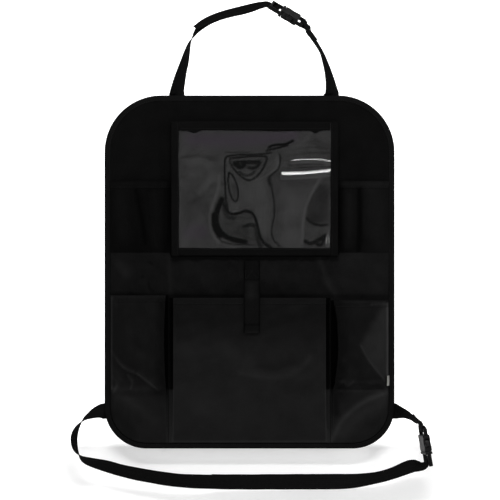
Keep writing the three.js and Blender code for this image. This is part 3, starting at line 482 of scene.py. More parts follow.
# Lower facing
# A single cloth over the lower part of the panel, caught in the binding and in the seam under the upper
# pockets. Pushed together by the pockets sewn on it, it stands up in a few soft ridges in the bare band.
facing_inset = 9.4
facing_top = 30.0
cloth_thickness = 0.7
facing_rows = panel_rows(facing_inset, top=facing_top)
facing_ridges = [
    ([(-124, 28), (-124, -39)], 4.5, 2.2),
    ([(106, 28), (112, 8), (122, -19), (134, -40)], 4.5, 2.2),
    ([(130, 20), (146, -4), (150, -38)], 8, 1.5),
    ([(112, -12), (133, -43)], 4, 1.2),
    ([(-60, 26), (-66, -38)], 10, 1.3),
    ([(-20, -8), (40, -16), (92, -6)], 9, 1.0),
    ([(60, 26), (52, -38)], 9, 1.2),
    ([(-205, 12), (-178, -34)], 9, 1.7),
    ([(-165, 26), (-150, -38)], 8, -1.2),
    ([(188, 24), (176, -34)], 8, 1.4),
    ([(-112, -4), (-70, -20)], 7, 1.0),
]
# Painted highlights where the facing's ridges catch the light, and a painted lighter band at its right
facing_highlights = [
    ([(-202, 8), (-192, -2)], 10, 0.035),
    ([(-125, 24), (-123, -36)], 4, 0.02),
    ([(106, 24), (112, 8), (122, -19), (132, -36)], 4.5, 0.03),
    ([(150, 18), (205, 14), (196, -26)], 14, 0.014),
    ([(-96, 12), (-60, -14)], 12, 0.01),
    ([(20, 6), (90, -16)], 12, 0.01),
]
sleeve_left, sleeve_right = -121.5, 137.5
top_under_sleeve = 23.8


def near_line(x, z, points, width):
    """1 on a rounded line through points, falling to 0 away from it, all in millimetres"""
    points = np.array(points, dtype=float)
    for _ in range(3 if len(points) > 2 else 0):
        cut = [points[:-1] * 0.75 + points[1:] * 0.25, points[:-1] * 0.25 + points[1:] * 0.75]
        points = np.concatenate([points[:1], np.stack(cut, axis=1).reshape(-1, 2), points[-1:]])
    best = np.full(np.shape(x), 1e9)
    for (x0, z0), (x1, z1) in zip(points, points[1:]):
        dx, dz = x1 - x0, z1 - z0
        share = np.clip(((x - x0) * dx + (z - z0) * dz) / (dx * dx + dz * dz), 0, 1)
        best = np.minimum(best, np.hypot(x - x0 - share * dx, z - z0 - share * dz))
    return np.exp(-((best / width) ** 2))


def drawn(x, z, lines):
    """The sum of soft lines, each with its points, its width in millimetres and its height or share"""
    return sum(amount * near_line(x, z, line, width) for line, width, amount in lines)


def mark(piece, name, values):
    """Stores values(x, z) at a piece's points, in millimetres, for its material"""
    mesh = piece.data
    x, _, z = points_of(mesh).T * 1000
    layer = mesh.attributes.new(name, "FLOAT", "POINT")
    layer.data.foreach_set("value", np.clip(values(x, z), 0, 1).astype(np.float32))


def crumpled(x, z, size, seed):
    """Soft unevenness of handled cloth, about -1 to 1, its hollows a size in millimetres apart"""
    chance = np.random.default_rng(seed)
    turns = chance.uniform(0, 6.28, 16)
    pitches = size * chance.uniform(0.8, 2.2, 16)
    starts = chance.uniform(0, 6.28, 16)
    waves = [
        np.sin((x * math.cos(turn) + z * math.sin(turn)) * 2 * math.pi / pitch + start)
        for turn, pitch, start in zip(turns, pitches, starts)
    ]
    return sum(waves) / 4


def facing_place(u, v):
    """A place on the facing, lifted into ridges in the band that is left bare"""
    z = spread(v, facing_rows)
    x = u * reach(z, facing_inset)
    under = (x > sleeve_left - 1.5) & (x < sleeve_right + 1.5)
    z = np.where(under & (z > 0), z * top_under_sleeve / facing_top, z)
    free = np.clip((z + 40) / 8, 0, 1) * np.clip((28 - z) / 10, 0, 1)
    lift = drawn(x, z, facing_ridges) + 0.8 * crumpled(x, z, 17, 3)
    return x, -(5.2 + free * lift), z


facing, facing_cut, facing_area = cloth(
    "facing_cloth", 170, len(facing_rows) - 1, facing_place, cloth_thickness
)
mark(facing, "wear_and_highlight", lambda x, z: drawn(x, z, facing_highlights))
# Painted shade over the facing except at its right end, and a painted shadow under the pocket mouths
pocket_shadow = [([(-220, -36), (220, -39)], 3.5, 0.55)]
mark(facing, "shade", lambda x, z: 0.2 - 0.2 * np.clip((x - 100) / 40, 0, 1) + drawn(x, z, pocket_shadow))
# The facing is the same oxford, drawn a shade greyer as painted light on the bare band
facing_cloth = woven("oxford_painted_lighter", "#0b0b0b", "#191919", 1.1, 0.25, 0.006, 0.02, crumple=0.0013)
dress(facing, facing_cloth, "panel_cloth", "lower_facing")


# Tablet sleeve, its tapes
# Folded tape stands the clear film off the panel at the sides and foot, and a fourth tape is folded over
# the film's free top edge, which is the mouth. The top one sags a little between its ends.
sleeve_foot, sleeve_head = 25.0, 233.0
tape_start, tape_length = -109.0, 234.0
tape_wall = [(0.4, 4.4), (0, 6.5), (0, 12.4), (0.5, 14), (1.6, 14.45), (6, 14.5), (11.3, 14.45), (12, 14.1)]
mouth_inner = [(14, 11.95), (7, 11.85), (1, 12), (0, 12.6)]
mouth_outer = [(0, 13.6), (0.9, 14.3), (7, 14.4), (13.5, 14.35), (14, 14)]


def section_at(section, v):
    """A place on a folded tape's outline, from -1 to 1 along it"""
    return spread(v, [across for across, _ in section]), spread(v, [depth for _, depth in section])


def upright_tape(side, edge):
    """The form of a tape that stands at a side of the sleeve"""
    def place(u, v):
        """A place on the tape, round its fold by u and up the sleeve by v"""
        across, depth = section_at(tape_wall, u if side > 0 else -u)
        z = sleeve_foot + (sleeve_head - sleeve_foot) * (v + 1) / 2
        sway = 0.35 * np.sin(z / 17 + side) * (across / 12) + 0.25 * np.sin(z / 43)
        ripple = 0.15 * np.sin(z / 4.4 + 2 * side) * (across / 12)
        return edge + side * (across + sway), -(depth + ripple - 0.15), z

    return place


def foot_tape(u, v):
    """A place on the tape along the sleeve's foot"""
    across, depth = section_at(tape_wall, v)
    x = tape_start + tape_length * (u + 1) / 2
    sway = 0.3 * np.sin(x / 21) * (across / 12)
    return x, -(depth + 0.12 * np.sin(x / 4.6) * (across / 12) - 0.15), sleeve_foot + across + sway


def mouth_tape(u, v):
    """A place on the tape folded over the film at the sleeve's mouth"""
    across, depth = section_at(mouth_inner + mouth_outer, -v)
    x = tape_start + tape_length * (u + 1) / 2
    sag = 0.5 * np.sin(x / 26)
    for middle, width, fall in ((-86, 7, 4.2), (102, 5, 4.0)):
        sag = sag + fall * np.exp(-(((x - middle) / width) ** 2))
    return x, -depth - 0.1 * np.sin(x / 5.2), sleeve_head - across * (1 + sag / 14) - 0.4 * np.sin(x / 60)


# Plain nylon tape with fine ribs, as black as the panel and a little smoother
sleeve_tape = woven("black_nylon_tape", "#060606", "#101010", 0.9, 0.2, 0.004, 0.018, 0.78)
tape_shapes = {
    "sleeve_tape_left": (18, 70, upright_tape(1, sleeve_left)),
    "sleeve_tape_right": (18, 70, upright_tape(-1, sleeve_right)),
    "sleeve_tape_bottom": (90, 18, foot_tape),
    "sleeve_hem_top": (90, 18, mouth_tape),
}
for node, (columns, rows, shape) in tape_shapes.items():
    tape, cut, area = cloth(node + "_fold", columns, rows, shape, 0.55)
    dress(tape, sleeve_tape, "tape", node)

seam_in, tape_front = 9.8, -14.75
sleeve_rows = [
    ([(x, tape_front, sleeve_foot + 2), (x, tape_front, sleeve_head - 2)], (0, -1, 0))
    for x in (sleeve_left + seam_in, sleeve_right - seam_in)
]
sleeve_rows += [
    ([(tape_start + 1, tape_front, z), (tape_start + tape_length - 1, tape_front, z)], (0, -1, 0))
    for z in (sleeve_foot + seam_in, sleeve_head - 11)
]
sleeve_seams = sewn("sleeve_seams", sleeve_rows)
dress(sleeve_seams, sewing_thread, "tape")


# Tablet sleeve, its film
# Soft clear vinyl, sewn in slack, so that it ripples and stands in two short ridges at the right. Dark,
# liquid shapes and pale lines are painted into its colour as reflections; it is also pulled inwards along
# the first of the dark ones.
pulled_in = 7
# Dark lines and shapes painted into the film as reflections
film_dark = [
    ([(-43, 112), (-52, 91), (-52, 73), (-43, 59), (-27, 50), (-7, 47)], 3.6, 1.0),
    ([(-54, 88), (-54, 70), (-46, 57)], 4.2, 1.0),
    ([(-41, 107), (-35, 95), (-29, 89), (-16, 91), (-7, 95), (2, 93), (8, 86), (12, 73), (15, 57),
      (21, 45), (33, 38)], 1.9, 0.95),
    ([(-39, 99), (-36, 85), (-24, 83)], 3.0, 0.7),
    ([(-9, 70), (2, 74), (9, 71)], 2.6, 0.8),
    ([(10, 70), (12, 51), (17, 40)], 2.8, 0.7),
    ([(-30, 176), (-1, 179), (26, 180), (28, 175), (18, 154), (3, 141), (-7, 143), (-22, 156),
      (-30, 168), (-30, 176)], 1.3, 0.85),
    ([(-23, 169), (-7, 170), (15, 170)], 2.6, 0.9),
    ([(-22, 167), (-14, 161), (-8, 166)], 3.0, 0.95),
    ([(-1, 162), (7, 160), (15, 167)], 2.2, 0.85),
    ([(-16, 155), (-7, 149), (2, 150), (7, 155)], 1.6, 0.7),
    ([(-38, 175), (-34, 180), (-7, 182), (18, 182), (33, 185)], 1.2, 0.9),
    ([(-38, 175), (-39, 157), (-38, 141), (-37, 113), (-34, 98)], 1.3, 0.9),
    ([(-38, 186), (-29, 185), (-1, 185)], 1.0, 0.5),
    ([(-32, 154), (-26, 150), (-19, 135), (-17, 119), (-20, 109), (-24, 109), (-30, 119), (-34, 138),
      (-32, 154)], 1.1, 0.95),
    ([(47, 183), (48, 172), (46, 160), (38, 154), (30, 147), (29, 141), (33, 136), (35, 126), (38, 110),
      (39, 91), (36, 76), (33, 64), (36, 51), (46, 40)], 1.0, 0.8),
    ([(31, 147), (30, 141), (33, 135)], 2.4, 0.75),
    ([(30, 193), (38, 197), (55, 197), (67, 203)], 1.7, 1.0),
    ([(26, 188), (43, 192), (59, 196)], 1.3, 0.95),
    ([(88, 84), (95, 76), (108, 72), (119, 73)], 1.8, 0.85),
    ([(86, 48), (95, 43), (108, 50), (117, 56)], 2.6, 0.9),
    ([(105, 43), (111, 41), (115, 51)], 2.2, 0.9),
    ([(-50, 54), (-38, 43), (8, 42)], 1.0, 0.7),
    ([(67, 189), (95, 194), (122, 191)], 0.9, 0.35),
    ([(61, 180), (92, 185), (123, 184)], 0.9, 0.35),
    ([(59, 165), (86, 168), (123, 167)], 0.9, 0.45),
    ([(55, 160), (86, 162), (123, 163)], 0.9, 0.4),
    ([(109, 136), (117, 119), (119, 98), (117, 82)], 1.2, 0.5),
    ([(-29, 93), (-13, 82), (5, 85)], 1.5, 0.4),
    ([(-106, 177), (-75, 181), (-54, 172)], 1.2, 0.4),
    ([(-91, 107), (-69, 119), (-57, 138)], 2.2, 0.3),
]
# Dark pools painted as reflections
film_pools = [
    ([(112, 129), (102, 113), (95, 95), (98, 82), (112, 82), (116, 107), (112, 129)], 7.0, 0.55),
    ([(-32, 70), (-13, 64), (-1, 57)], 10, 0.36),
    ([(-24, 132), (-23, 116)], 4.5, 0.28),
    ([(92, 57), (105, 57)], 8, 0.2),
    ([(-103, 178), (-75, 180), (-50, 174)], 3, 0.2),
    ([(-91, 107), (-69, 122), (-57, 132)], 3.5, 0.16),
    ([(83, 194), (105, 203), (122, 197)], 4, 0.15),
]
# Pale lines painted as highlights
film_gleams = [
    ([(109, 144), (98, 126), (89, 107), (84, 88), (82, 70), (81, 45)], 1.6, 0.5),
    ([(-47, 150), (-48, 126), (-57, 107), (-62, 82), (-59, 60), (-48, 46)], 1.8, 0.4),
    ([(43, 178), (43, 160), (28, 150)], 2.0, 0.3),
    ([(-97, 172), (-78, 175), (-58, 163), (-58, 141), (-75, 122)], 5, 0.2),
    ([(-75, 82), (-88, 70), (-100, 45)], 5, 0.2),
    ([(8, 135), (18, 110), (21, 70)], 10, 0.22),
    ([(61, 113), (64, 57)], 8, 0.14),
]
film_rose = [
    ([(-91, 205), (-38, 203), (18, 205), (67, 212)], 9, 0.8),
    ([(-97, 64), (-72, 70), (-69, 57), (-97, 57)], 6, 0.6),
]
film_folds = [
    ([62, 80, 113, 128], [172.6, 174.4, 174.2, 170.4], 2.6),
    ([47, 82, 128], [152.4, 153.4, 157.6], 5.4),
]
mirror_slope = 0.363
upright_ridge = [(121.4, 54.5), (120.8, 49), (121.0, 44)]
row_parts = [(26.6, 147, 96), (147.5, 178.5, 70), (179.6, 231.2, 42)]
column_parts = [(-119.6, 114, 190), (114.5, 128, 40), (129, 135.6, 7)]
film_rows = np.concatenate([np.linspace(*part) for part in row_parts])
film_columns = np.concatenate([np.linspace(*part) for part in column_parts])


def film_place(u, v):
    """A place on the film: slack waves, dents where it clings, and sharp ridges at the right"""
    x = spread(u, film_columns)
    z = spread(v, film_rows)
    hold = np.clip(np.minimum(np.minimum(x + 110, 126 - x) / 22, np.minimum(z - 36, 220 - z) / 20), 0, 1)
    waves = (
        0.75 * np.sin(x / 36 + z / 58)
        + 0.55 * np.sin(z / 19 - x / 66 + 0.7)
        + 0.4 * np.sin(x / 27 - z / 25 + 1)
        + 0.22 * np.sin(x / 11 + 1.5 * np.sin(z / 23))
    )
    cling_and_dark_reflection = sum(share * near_line(x, z, line, 2.5 * width) for line, width, share in film_dark[:pulled_in])
    lift = 2.1 * near_line(x, z, upright_ridge, 2.6)
    calm = np.ones_like(x)
    for along, heights, tall in film_folds:
        under = np.interp(x, along, heights) + tall / 2 - z
        ends = np.clip((x - along[0]) / 2.5, 0, 1) * np.clip((129 - x) / 4, 0, 1)
        face = np.clip(under, 0, tall) * mirror_slope * np.exp(-((np.clip(under - tall, 0, None) / 4) ** 2))
        lift = lift + ends * face
        calm = calm * (1 - ends * np.exp(-(((under - tall / 2) / (tall + 4)) ** 2)))
    return x, -(12.6 + calm * hold * (0.3 * waves - 0.3 * np.clip(cling_and_dark_reflection, 0, 1)) + lift), z


def strongest(x, z, lines, gain=1.0):
    """The largest share of any of the lines, each widened by a gain"""
    shares = [share * np.clip(gain * near_line(x, z, line, width), 0, 1) for line, width, share in lines]
    return np.max(shares, axis=0)


def dark_reflection_share(x, z):
    """The share of painted dark reflection at a place, from 0 to 1"""
    return np.maximum(strongest(x, z, film_dark, 2.2), strongest(x, z, film_pools, 1.8))


film, film_cut, film_area = cloth("film_sheet", len(film_columns) - 1, len(film_rows) - 1, film_place, 0.3)
# Painted dark reflections, pale painted highlight lines and a reddish tint, kept at the film's points
mark(film, "cling_and_dark_reflection", dark_reflection_share)
mark(film, "gleam", lambda x, z: strongest(x, z, film_gleams, 2.4))
mark(film, "rose", lambda x, z: strongest(x, z, film_rose))


def vinyl(name):
    """Clear soft vinyl over black cloth: a mottled grey haze, with painted dark reflections and pale
    painted highlight lines
    """
    material, tree, shader = started(name)
    place = add(tree, "TexCoord")
    clouds = {"Scale": 14.0, "Detail": 2.0, "Distortion": 2.6}
    cloudy = add(tree, "TexNoise", clouds, {"Vector": place.outputs["Object"]})
    drift = add(tree, "MapRange", {1: 0.35, 2: 0.65, 3: 0.0, 4: 1.0}, {0: cloudy.outputs["Fac"]})
    hazy = {"data_type": "RGBA", 6: colour("#272727"), 7: colour("#313131")}
    haze = add(tree, "Mix", hazy, {0: drift.outputs[0]})
    # Pale painted highlight lines, a reddish tint and painted dark reflections
    for use, mark_tone in (("gleam", "#444444"), ("rose", "#2f2a31"), ("cling_and_dark_reflection", "#020202")):
        used = add(tree, "Attribute", {"attribute_name": use})
        marked = {0: used.outputs["Fac"], 6: haze.outputs[2]}
        haze = add(tree, "Mix", {"data_type": "RGBA", 7: colour(mark_tone)}, marked)
    fine = add(tree, "TexNoise", {"Scale": 24.0, "Detail": 1.0}, {"Vector": place.outputs["Object"]})
    swell = add(tree, "Bump", {"Strength": 0.06, "Distance": 0.001}, {"Height": fine.outputs["Fac"]})
    clear = {"Alpha": 0.82, "Roughness": 0.07, "Specular IOR Level": 0.3, "IOR": 1.53}
    set_up(tree, shader, clear, {"Base Color": haze.outputs[2], "Normal": swell.outputs[0]})
    return material


# Clear vinyl 0.3 mm thick, slightly hazy, with a faint reddish tint in two bands
dress(film, vinyl("clear_soft_vinyl"), "clear_film", "sleeve_film")


# Upper pockets
# Two pockets of the panel's cloth, cut wider than the place they are sewn to and gathered, so that they
# stand open at a hemmed mouth and fall in upright folds.
upper_foot, upper_mouth, upper_hem = 30.3, 141.0, 128.8
hem_rows = [129.0, 129.6, 130.2, *np.linspace(131.5, 140.2, 6), upper_mouth]
pocket_rows = np.concatenate([np.linspace(30.4, 128.2, 34), hem_rows])
upper_folds = {
    "upper_left_pocket": [
        ([(-176, 130), (-170, 90), (-160, 34)], 4.5, -3.6),
        ([(-155, 124), (-150, 80), (-143, 34)], 4.0, -3.0),
        ([(-165, 126), (-158, 80), (-151, 40)], 4.5, 1.8),
        ([(-198, 120), (-201, 50)], 9.0, 1.9),
        ([(-186, 128), (-184, 60)], 4.0, -1.4),
        ([(-134, 118), (-133, 44)], 5.0, 1.6),
    ],
    "upper_right_pocket": [
        ([(171, 128), (170, 34)], 4.0, -2.8),
        ([(153, 128), (151, 34)], 6.0, 1.6),
        ([(186, 122), (188, 40)], 8.0, 1.7),
        ([(201, 120), (202, 50)], 8.0, -1.5),
    ],
}
# Painted highlights on the pockets' raised folds and along their hems
upper_highlights = [
    ([(-149, 120), (-145, 44)], 7, 0.014),
    ([(-202, 120), (-198, 50)], 14, 0.018),
    ([(195, 124), (198, 40)], 20, 0.022),
    ([(152, 118), (150, 44)], 9, 0.014),
    ([(-216, 136), (-122, 136)], 4, 0.012),
    ([(138, 136), (216, 136)], 4, 0.02),
]
# Painted shade in the pockets' creases and beside the sleeve
upper_shaded = [
    ([(-176, 127), (-171, 103), (-166, 75), (-162, 43)], 5, 0.75),
    ([(-128, 128), (-128, 34)], 12, 0.6),
    ([(170, 127), (171, 80), (169, 34)], 4.5, 0.8),
    ([(141, 128), (141, 34)], 7, 0.5),
]


def hem_step(z, start):
    """The step where a hem is turned in, above a height"""
    return 0.7 * np.clip((z - start) / 0.9, 0, 1)


def hem_row(place, across, height, rows):
    """A row of stitches along a hem, just proud of the cloth"""
    level = np.interp(height, rows, np.linspace(-1, 1, len(rows)))
    return np.column_stack(place(across, np.full(len(across), level))) - [0, 0.15, 0], (0, -1, 0)


def upper_pocket(name):
    """The form of a gathered pocket between its two sewn edges"""
    low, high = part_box(name)
    outer, inner = (low.x, high.x) if low.x < 0 else (high.x, low.x)
    outer, inner = outer * 1000, inner * 1000
    side = 1 if outer < inner else -1

    def place(u, v):
        """A place on the pocket, across it by u and up it by v"""
        share = (side * u + 1) / 2
        z = spread(v, pocket_rows)
        rise = (z - upper_foot) / (upper_mouth - upper_foot)
        x = outer + (inner - outer) * share
        edge = 1 - np.abs(2 * share - 1) ** 5
        swell = np.sin(math.pi / 2 * np.clip(rise / 0.3, 0, 1)) * (1 - 0.22 * rise**3)
        folds = drawn(x, z, upper_folds[name])
        small = 0.4 * crumpled(x, z / 2.5, 12, 5)
        depth = 10.2 * edge * swell + edge * np.clip(rise * 5, 0, 1) * (folds * (1 - 0.35 * rise) + small)
        return x, -(5.2 + np.maximum(depth, 0) + hem_step(z, upper_hem)), z

    return place


# The same oxford as the panel, a trace more matt
pocket_cloth = woven("black_pocket_oxford", "#060606", "#111111", 1.1, 0.25, 0.004, 0.012)
for name in ("upper_left_pocket", "upper_right_pocket"):
    shape = upper_pocket(name)
    pocket, cut, area = cloth(name + "_cloth", 56, len(pocket_rows) - 1, shape, cloth_thickness)
    # Paler marks are painted highlights; the shade mark is painted shade over all of the left pocket and
    # along its lines
    mark(pocket, "wear_and_highlight", lambda x, z: drawn(x, z, upper_highlights))
    mark(pocket, "shade", lambda x, z: np.maximum(0.35 * (x < 0), strongest(x, z, upper_shaded)))
    dress(pocket, pocket_cloth, "pocket_cloth", name)
    hem_seam = sewn(name + "_hem_seam", [hem_row(shape, np.linspace(-0.97, 0.97, 60), 131.6, pocket_rows)])
    dress(hem_seam, sewing_thread, "pocket_cloth")


# Centre pocket
# A large flat front with a bellows gusset folded in at each side, of closely woven, coated polyester that
# takes soft dents and catches the low light towards its foot. Its colour is painted paler towards the foot
# and on its folds as painted light, and darker towards the mouth as painted shade.
lying_flat = 6.1
centre_mouth = -40.0
crease_height = -181.0
pocket_foot = -264.7
hem_height = 10.3


def through(shares, knots, u):
    """A smooth line through knots that stand at fixed shares from -1 to 1"""
    shares = np.array(shares)
    knots = np.array([np.broadcast_to(knot, len(u)) for knot in knots])
    slopes = np.gradient(knots, shares, axis=0)
    at = np.clip(np.searchsorted(shares, u, side="right") - 1, 0, len(shares) - 2)
    every = np.arange(len(u))
    span = shares[at + 1] - shares[at]
    t = (u - shares[at]) / span
    start, stop = knots[at, every], knots[at + 1, every]
    leave, arrive = slopes[at, every] * span, slopes[at + 1, every] * span
    return (
        start * (2 * t**3 - 3 * t**2 + 1)
        + stop * (3 * t**2 - 2 * t**3)
        + leave * (t**3 - 2 * t**2 + t)
        + arrive * (t**3 - t**2)
    )


def lower_rows(mouth):
    """Heights of a lower pocket's rows, close together at its hem and its foot"""
    return np.concatenate(
        [
            np.linspace(pocket_foot, -252, 7),
            np.linspace(-249.5, mouth - 11.6, 86),
            [mouth - 10.6, mouth - 10.0, mouth - 9.4],
            np.linspace(mouth - 8, mouth - 0.8, 5),
            [mouth],
        ]
    )


def centre_fullness(z):
    """How far the pocket stands open at a height, as a share of its depth"""
    down = np.clip((centre_mouth - z) / 225, 0, 1)
    return np.clip((1 - 0.12 * down) * (1 - down**4), 0.012, 1)


centre_folds = [
    ([(-14, -156), (18, -164), (50, -165), (76, -153), (93, -134)], 6, 1.6),
    ([(10, -146), (38, -151), (64, -142)], 8, -1.2),
    ([(-97, -123), (-60, -117), (-32, -119), (0, -146)], 12, 1.6),
    ([(-60, -70), (-20, -84), (30, -78)], 16, 1.4),
    ([(-96, -76), (-84, -112)], 10, 1.2),
    ([(70, -66), (92, -104)], 13, 1.3),
    ([(40, -200), (88, -188)], 14, -1.3),
    ([(-92, -205), (-50, -220)], 16, 1.3),
    ([(-20, -196), (20, -226)], 13, 1.0),
    ([(60, -216), (96, -236)], 12, 1.0),
    ([(-104, -168), (-70, -180)], 10, -1.0),
]
# Painted highlights on raised folds, along the hem and at the foot
centre_highlights = [
    (centre_folds[0][0], 5, 0.03),
    (centre_folds[2][0], 13, 0.02),
    ([(-118, -41), (118, -41)], 1.4, 0.03),
    ([(-118, -47), (118, -47)], 3.2, 0.012),
    ([(-118, -262.6), (118, -262.6)], 1.5, 0.05),
    (centre_folds[7][0], 16, 0.012),
]
# A painted highlight down each edge of the front
centre_edge_highlights = [([(118.6, -183), (118.9, -262)], 1.1, 0.09)]
gusset_start = 119.5
centre_rows = lower_rows(centre_mouth)
centre_runs = np.array([0, 3, 17, 29.6, 34, 54.6, 108.6, 148.6])
centre_shares = np.concatenate([centre_runs / 148.6 - 1, (1 - centre_runs / 148.6)[-2::-1]])


def centre_place(u, v):
    """A place on the pocket's cloth, which runs on from its front into both gussets"""
    z = spread(v, centre_rows)
    full = centre_fullness(z)
    folded = 122.2 - 13 * full
    half = [125.2, 122.2, folded, 118, 114, 94, 40]
    front = [full * (16 + 1.5 * (1 - min(1, a / 118) ** 4)) for a in (118, 114, 94, 40)]
    deep = [0 * full, 0 * full, 7.2 * full, *front]
    x = through(centre_shares, [*[-a for a in half], 0, *half[::-1]], u)
    depth = through(centre_shares, [*deep, full * 17.5, *deep[::-1]], u)
    on_front = np.clip((118 - np.abs(x)) / 12, 0, 1) * (np.abs(u) < 0.8)
    dents = drawn(x, z, centre_folds) + 0.5 * crumpled(x, z, 24, 7)
    hem = hem_step(z, centre_mouth - hem_height) * (np.abs(u) < 0.82)
    depth = np.clip(depth + on_front * full * dents, 0, None)
    return x, -(lying_flat + depth + hem), z


centre, centre_cut, centre_area = cloth(
    "centre_pocket_cloth", 150, len(centre_rows) - 1, centre_place, cloth_thickness
)
# Painted light: the highlights, the flat gussets below the crease lifted out of their shade, and paler
# towards the foot
mark(
    centre,
    "wear_and_highlight",
    lambda x, z: drawn(x, z, centre_highlights)
    + drawn(np.abs(x), z, centre_edge_highlights)
    + 0.05 * np.clip(np.abs(x) - gusset_start, 0, 1) * np.clip((-182 - z) / 4, 0, 1)
    + 0.018 * np.clip((-120 - z) / 90, 0, 1),
)
# Painted shade, a little all over, heavier towards the mouth and in one hollow fold
upper_shade = [(centre_folds[1][0], 6, 0.15)]
mark(centre, "shade", lambda x, z: 0.1 + 0.5 * np.clip((z + 122) / 45, 0, 1) + drawn(x, z, upper_shade))
# Coated polyester, 0.4 mm yarns drawn at 1 mm. The coating on its back stiffens it and gives it a dull
# satin shine.
coated_cloth = woven("black_coated_polyester", "#0f0f0f", "#1c1c1c", 1.0, 0.2, 0.006, 0.04, 0.6, 0.0016)
dress(centre, coated_cloth, "coated_cloth", "centre_pocket")


def paint_gusset_shade(piece, material, gusset):
    """Gives a pocket's gussets, found on its flat pattern, a near-black cloth as painted shade, down to
    where they lie flat
    """
    mesh = piece.data
    pattern = np.empty(len(mesh.loops) * 2)
    mesh.uv_layers["cloth"].data.foreach_get("uv", pattern)
    first = np.array([face.loop_start for face in mesh.polygons])
    level = np.array([face.center.z for face in mesh.polygons]) * 1000
    mesh.materials.append(material)
    lined = gusset(pattern[::2][first] * 1000) & (level > crease_height)
    mesh.polygons.foreach_set("material_index", lined.astype(np.int32))


# The gussets are drawn as thin nylon, near black above the crease: painted shade for the dark gaps they lie
# in
gusset_shade_cloth = woven("gusset_painted_shade", "#020202", "#060606", 0.8, 0.15, 0.0, 0.004, 0.9)
paint_gusset_shade(centre, gusset_shade_cloth, lambda across: np.abs(across) > gusset_start)

seam_below_mouth = 9.0
centre_seam_rows = [
    hem_row(centre_place, np.linspace(-0.76, 0.76, 90), centre_mouth - seam_below_mouth, centre_rows),
    ([(-123.7, -6.4, -44), (-123.7, -6.4, -262)], (0, -1, 0)),
    ([(123.7, -6.4, -44), (123.7, -6.4, -262)], (0, -1, 0)),
]
centre_seams = sewn("centre_pocket_seams", centre_seam_rows)
dress(centre_seams, sewing_thread, "coated_cloth")


# Lower side pockets
# Pockets of the same coated cloth, caught in the binding outside and with one gusset inside. They were
# packed folded, which left sharp creases and a cross fold a third of the way up. The creases are painted
# paler, partly as wear and partly as painted highlight; above the cross fold the cloth is painted darker
# as shade, except on the right pocket's lit facet, which is painted paler as lit.
long_crease = [(-215, -121), (-197, -149), (-174, -157), (-160, -166), (-143, -180)]
branch_crease = [(-174, -157), (-156, -172), (-140, -184)]
short_crease = [(-188, -160), (-180, -172), (-184, -180)]
facet_edge = [(172, -114), (184, -138), (212, -170)]
cross_fold = [(129, -181), (209, -181)]
packing_creases = [(136, -178), (146, -168), (150, -178), (160, -170)]
foot_fold = [(128, -259), (142, -229), (174, -201), (213, -187)]
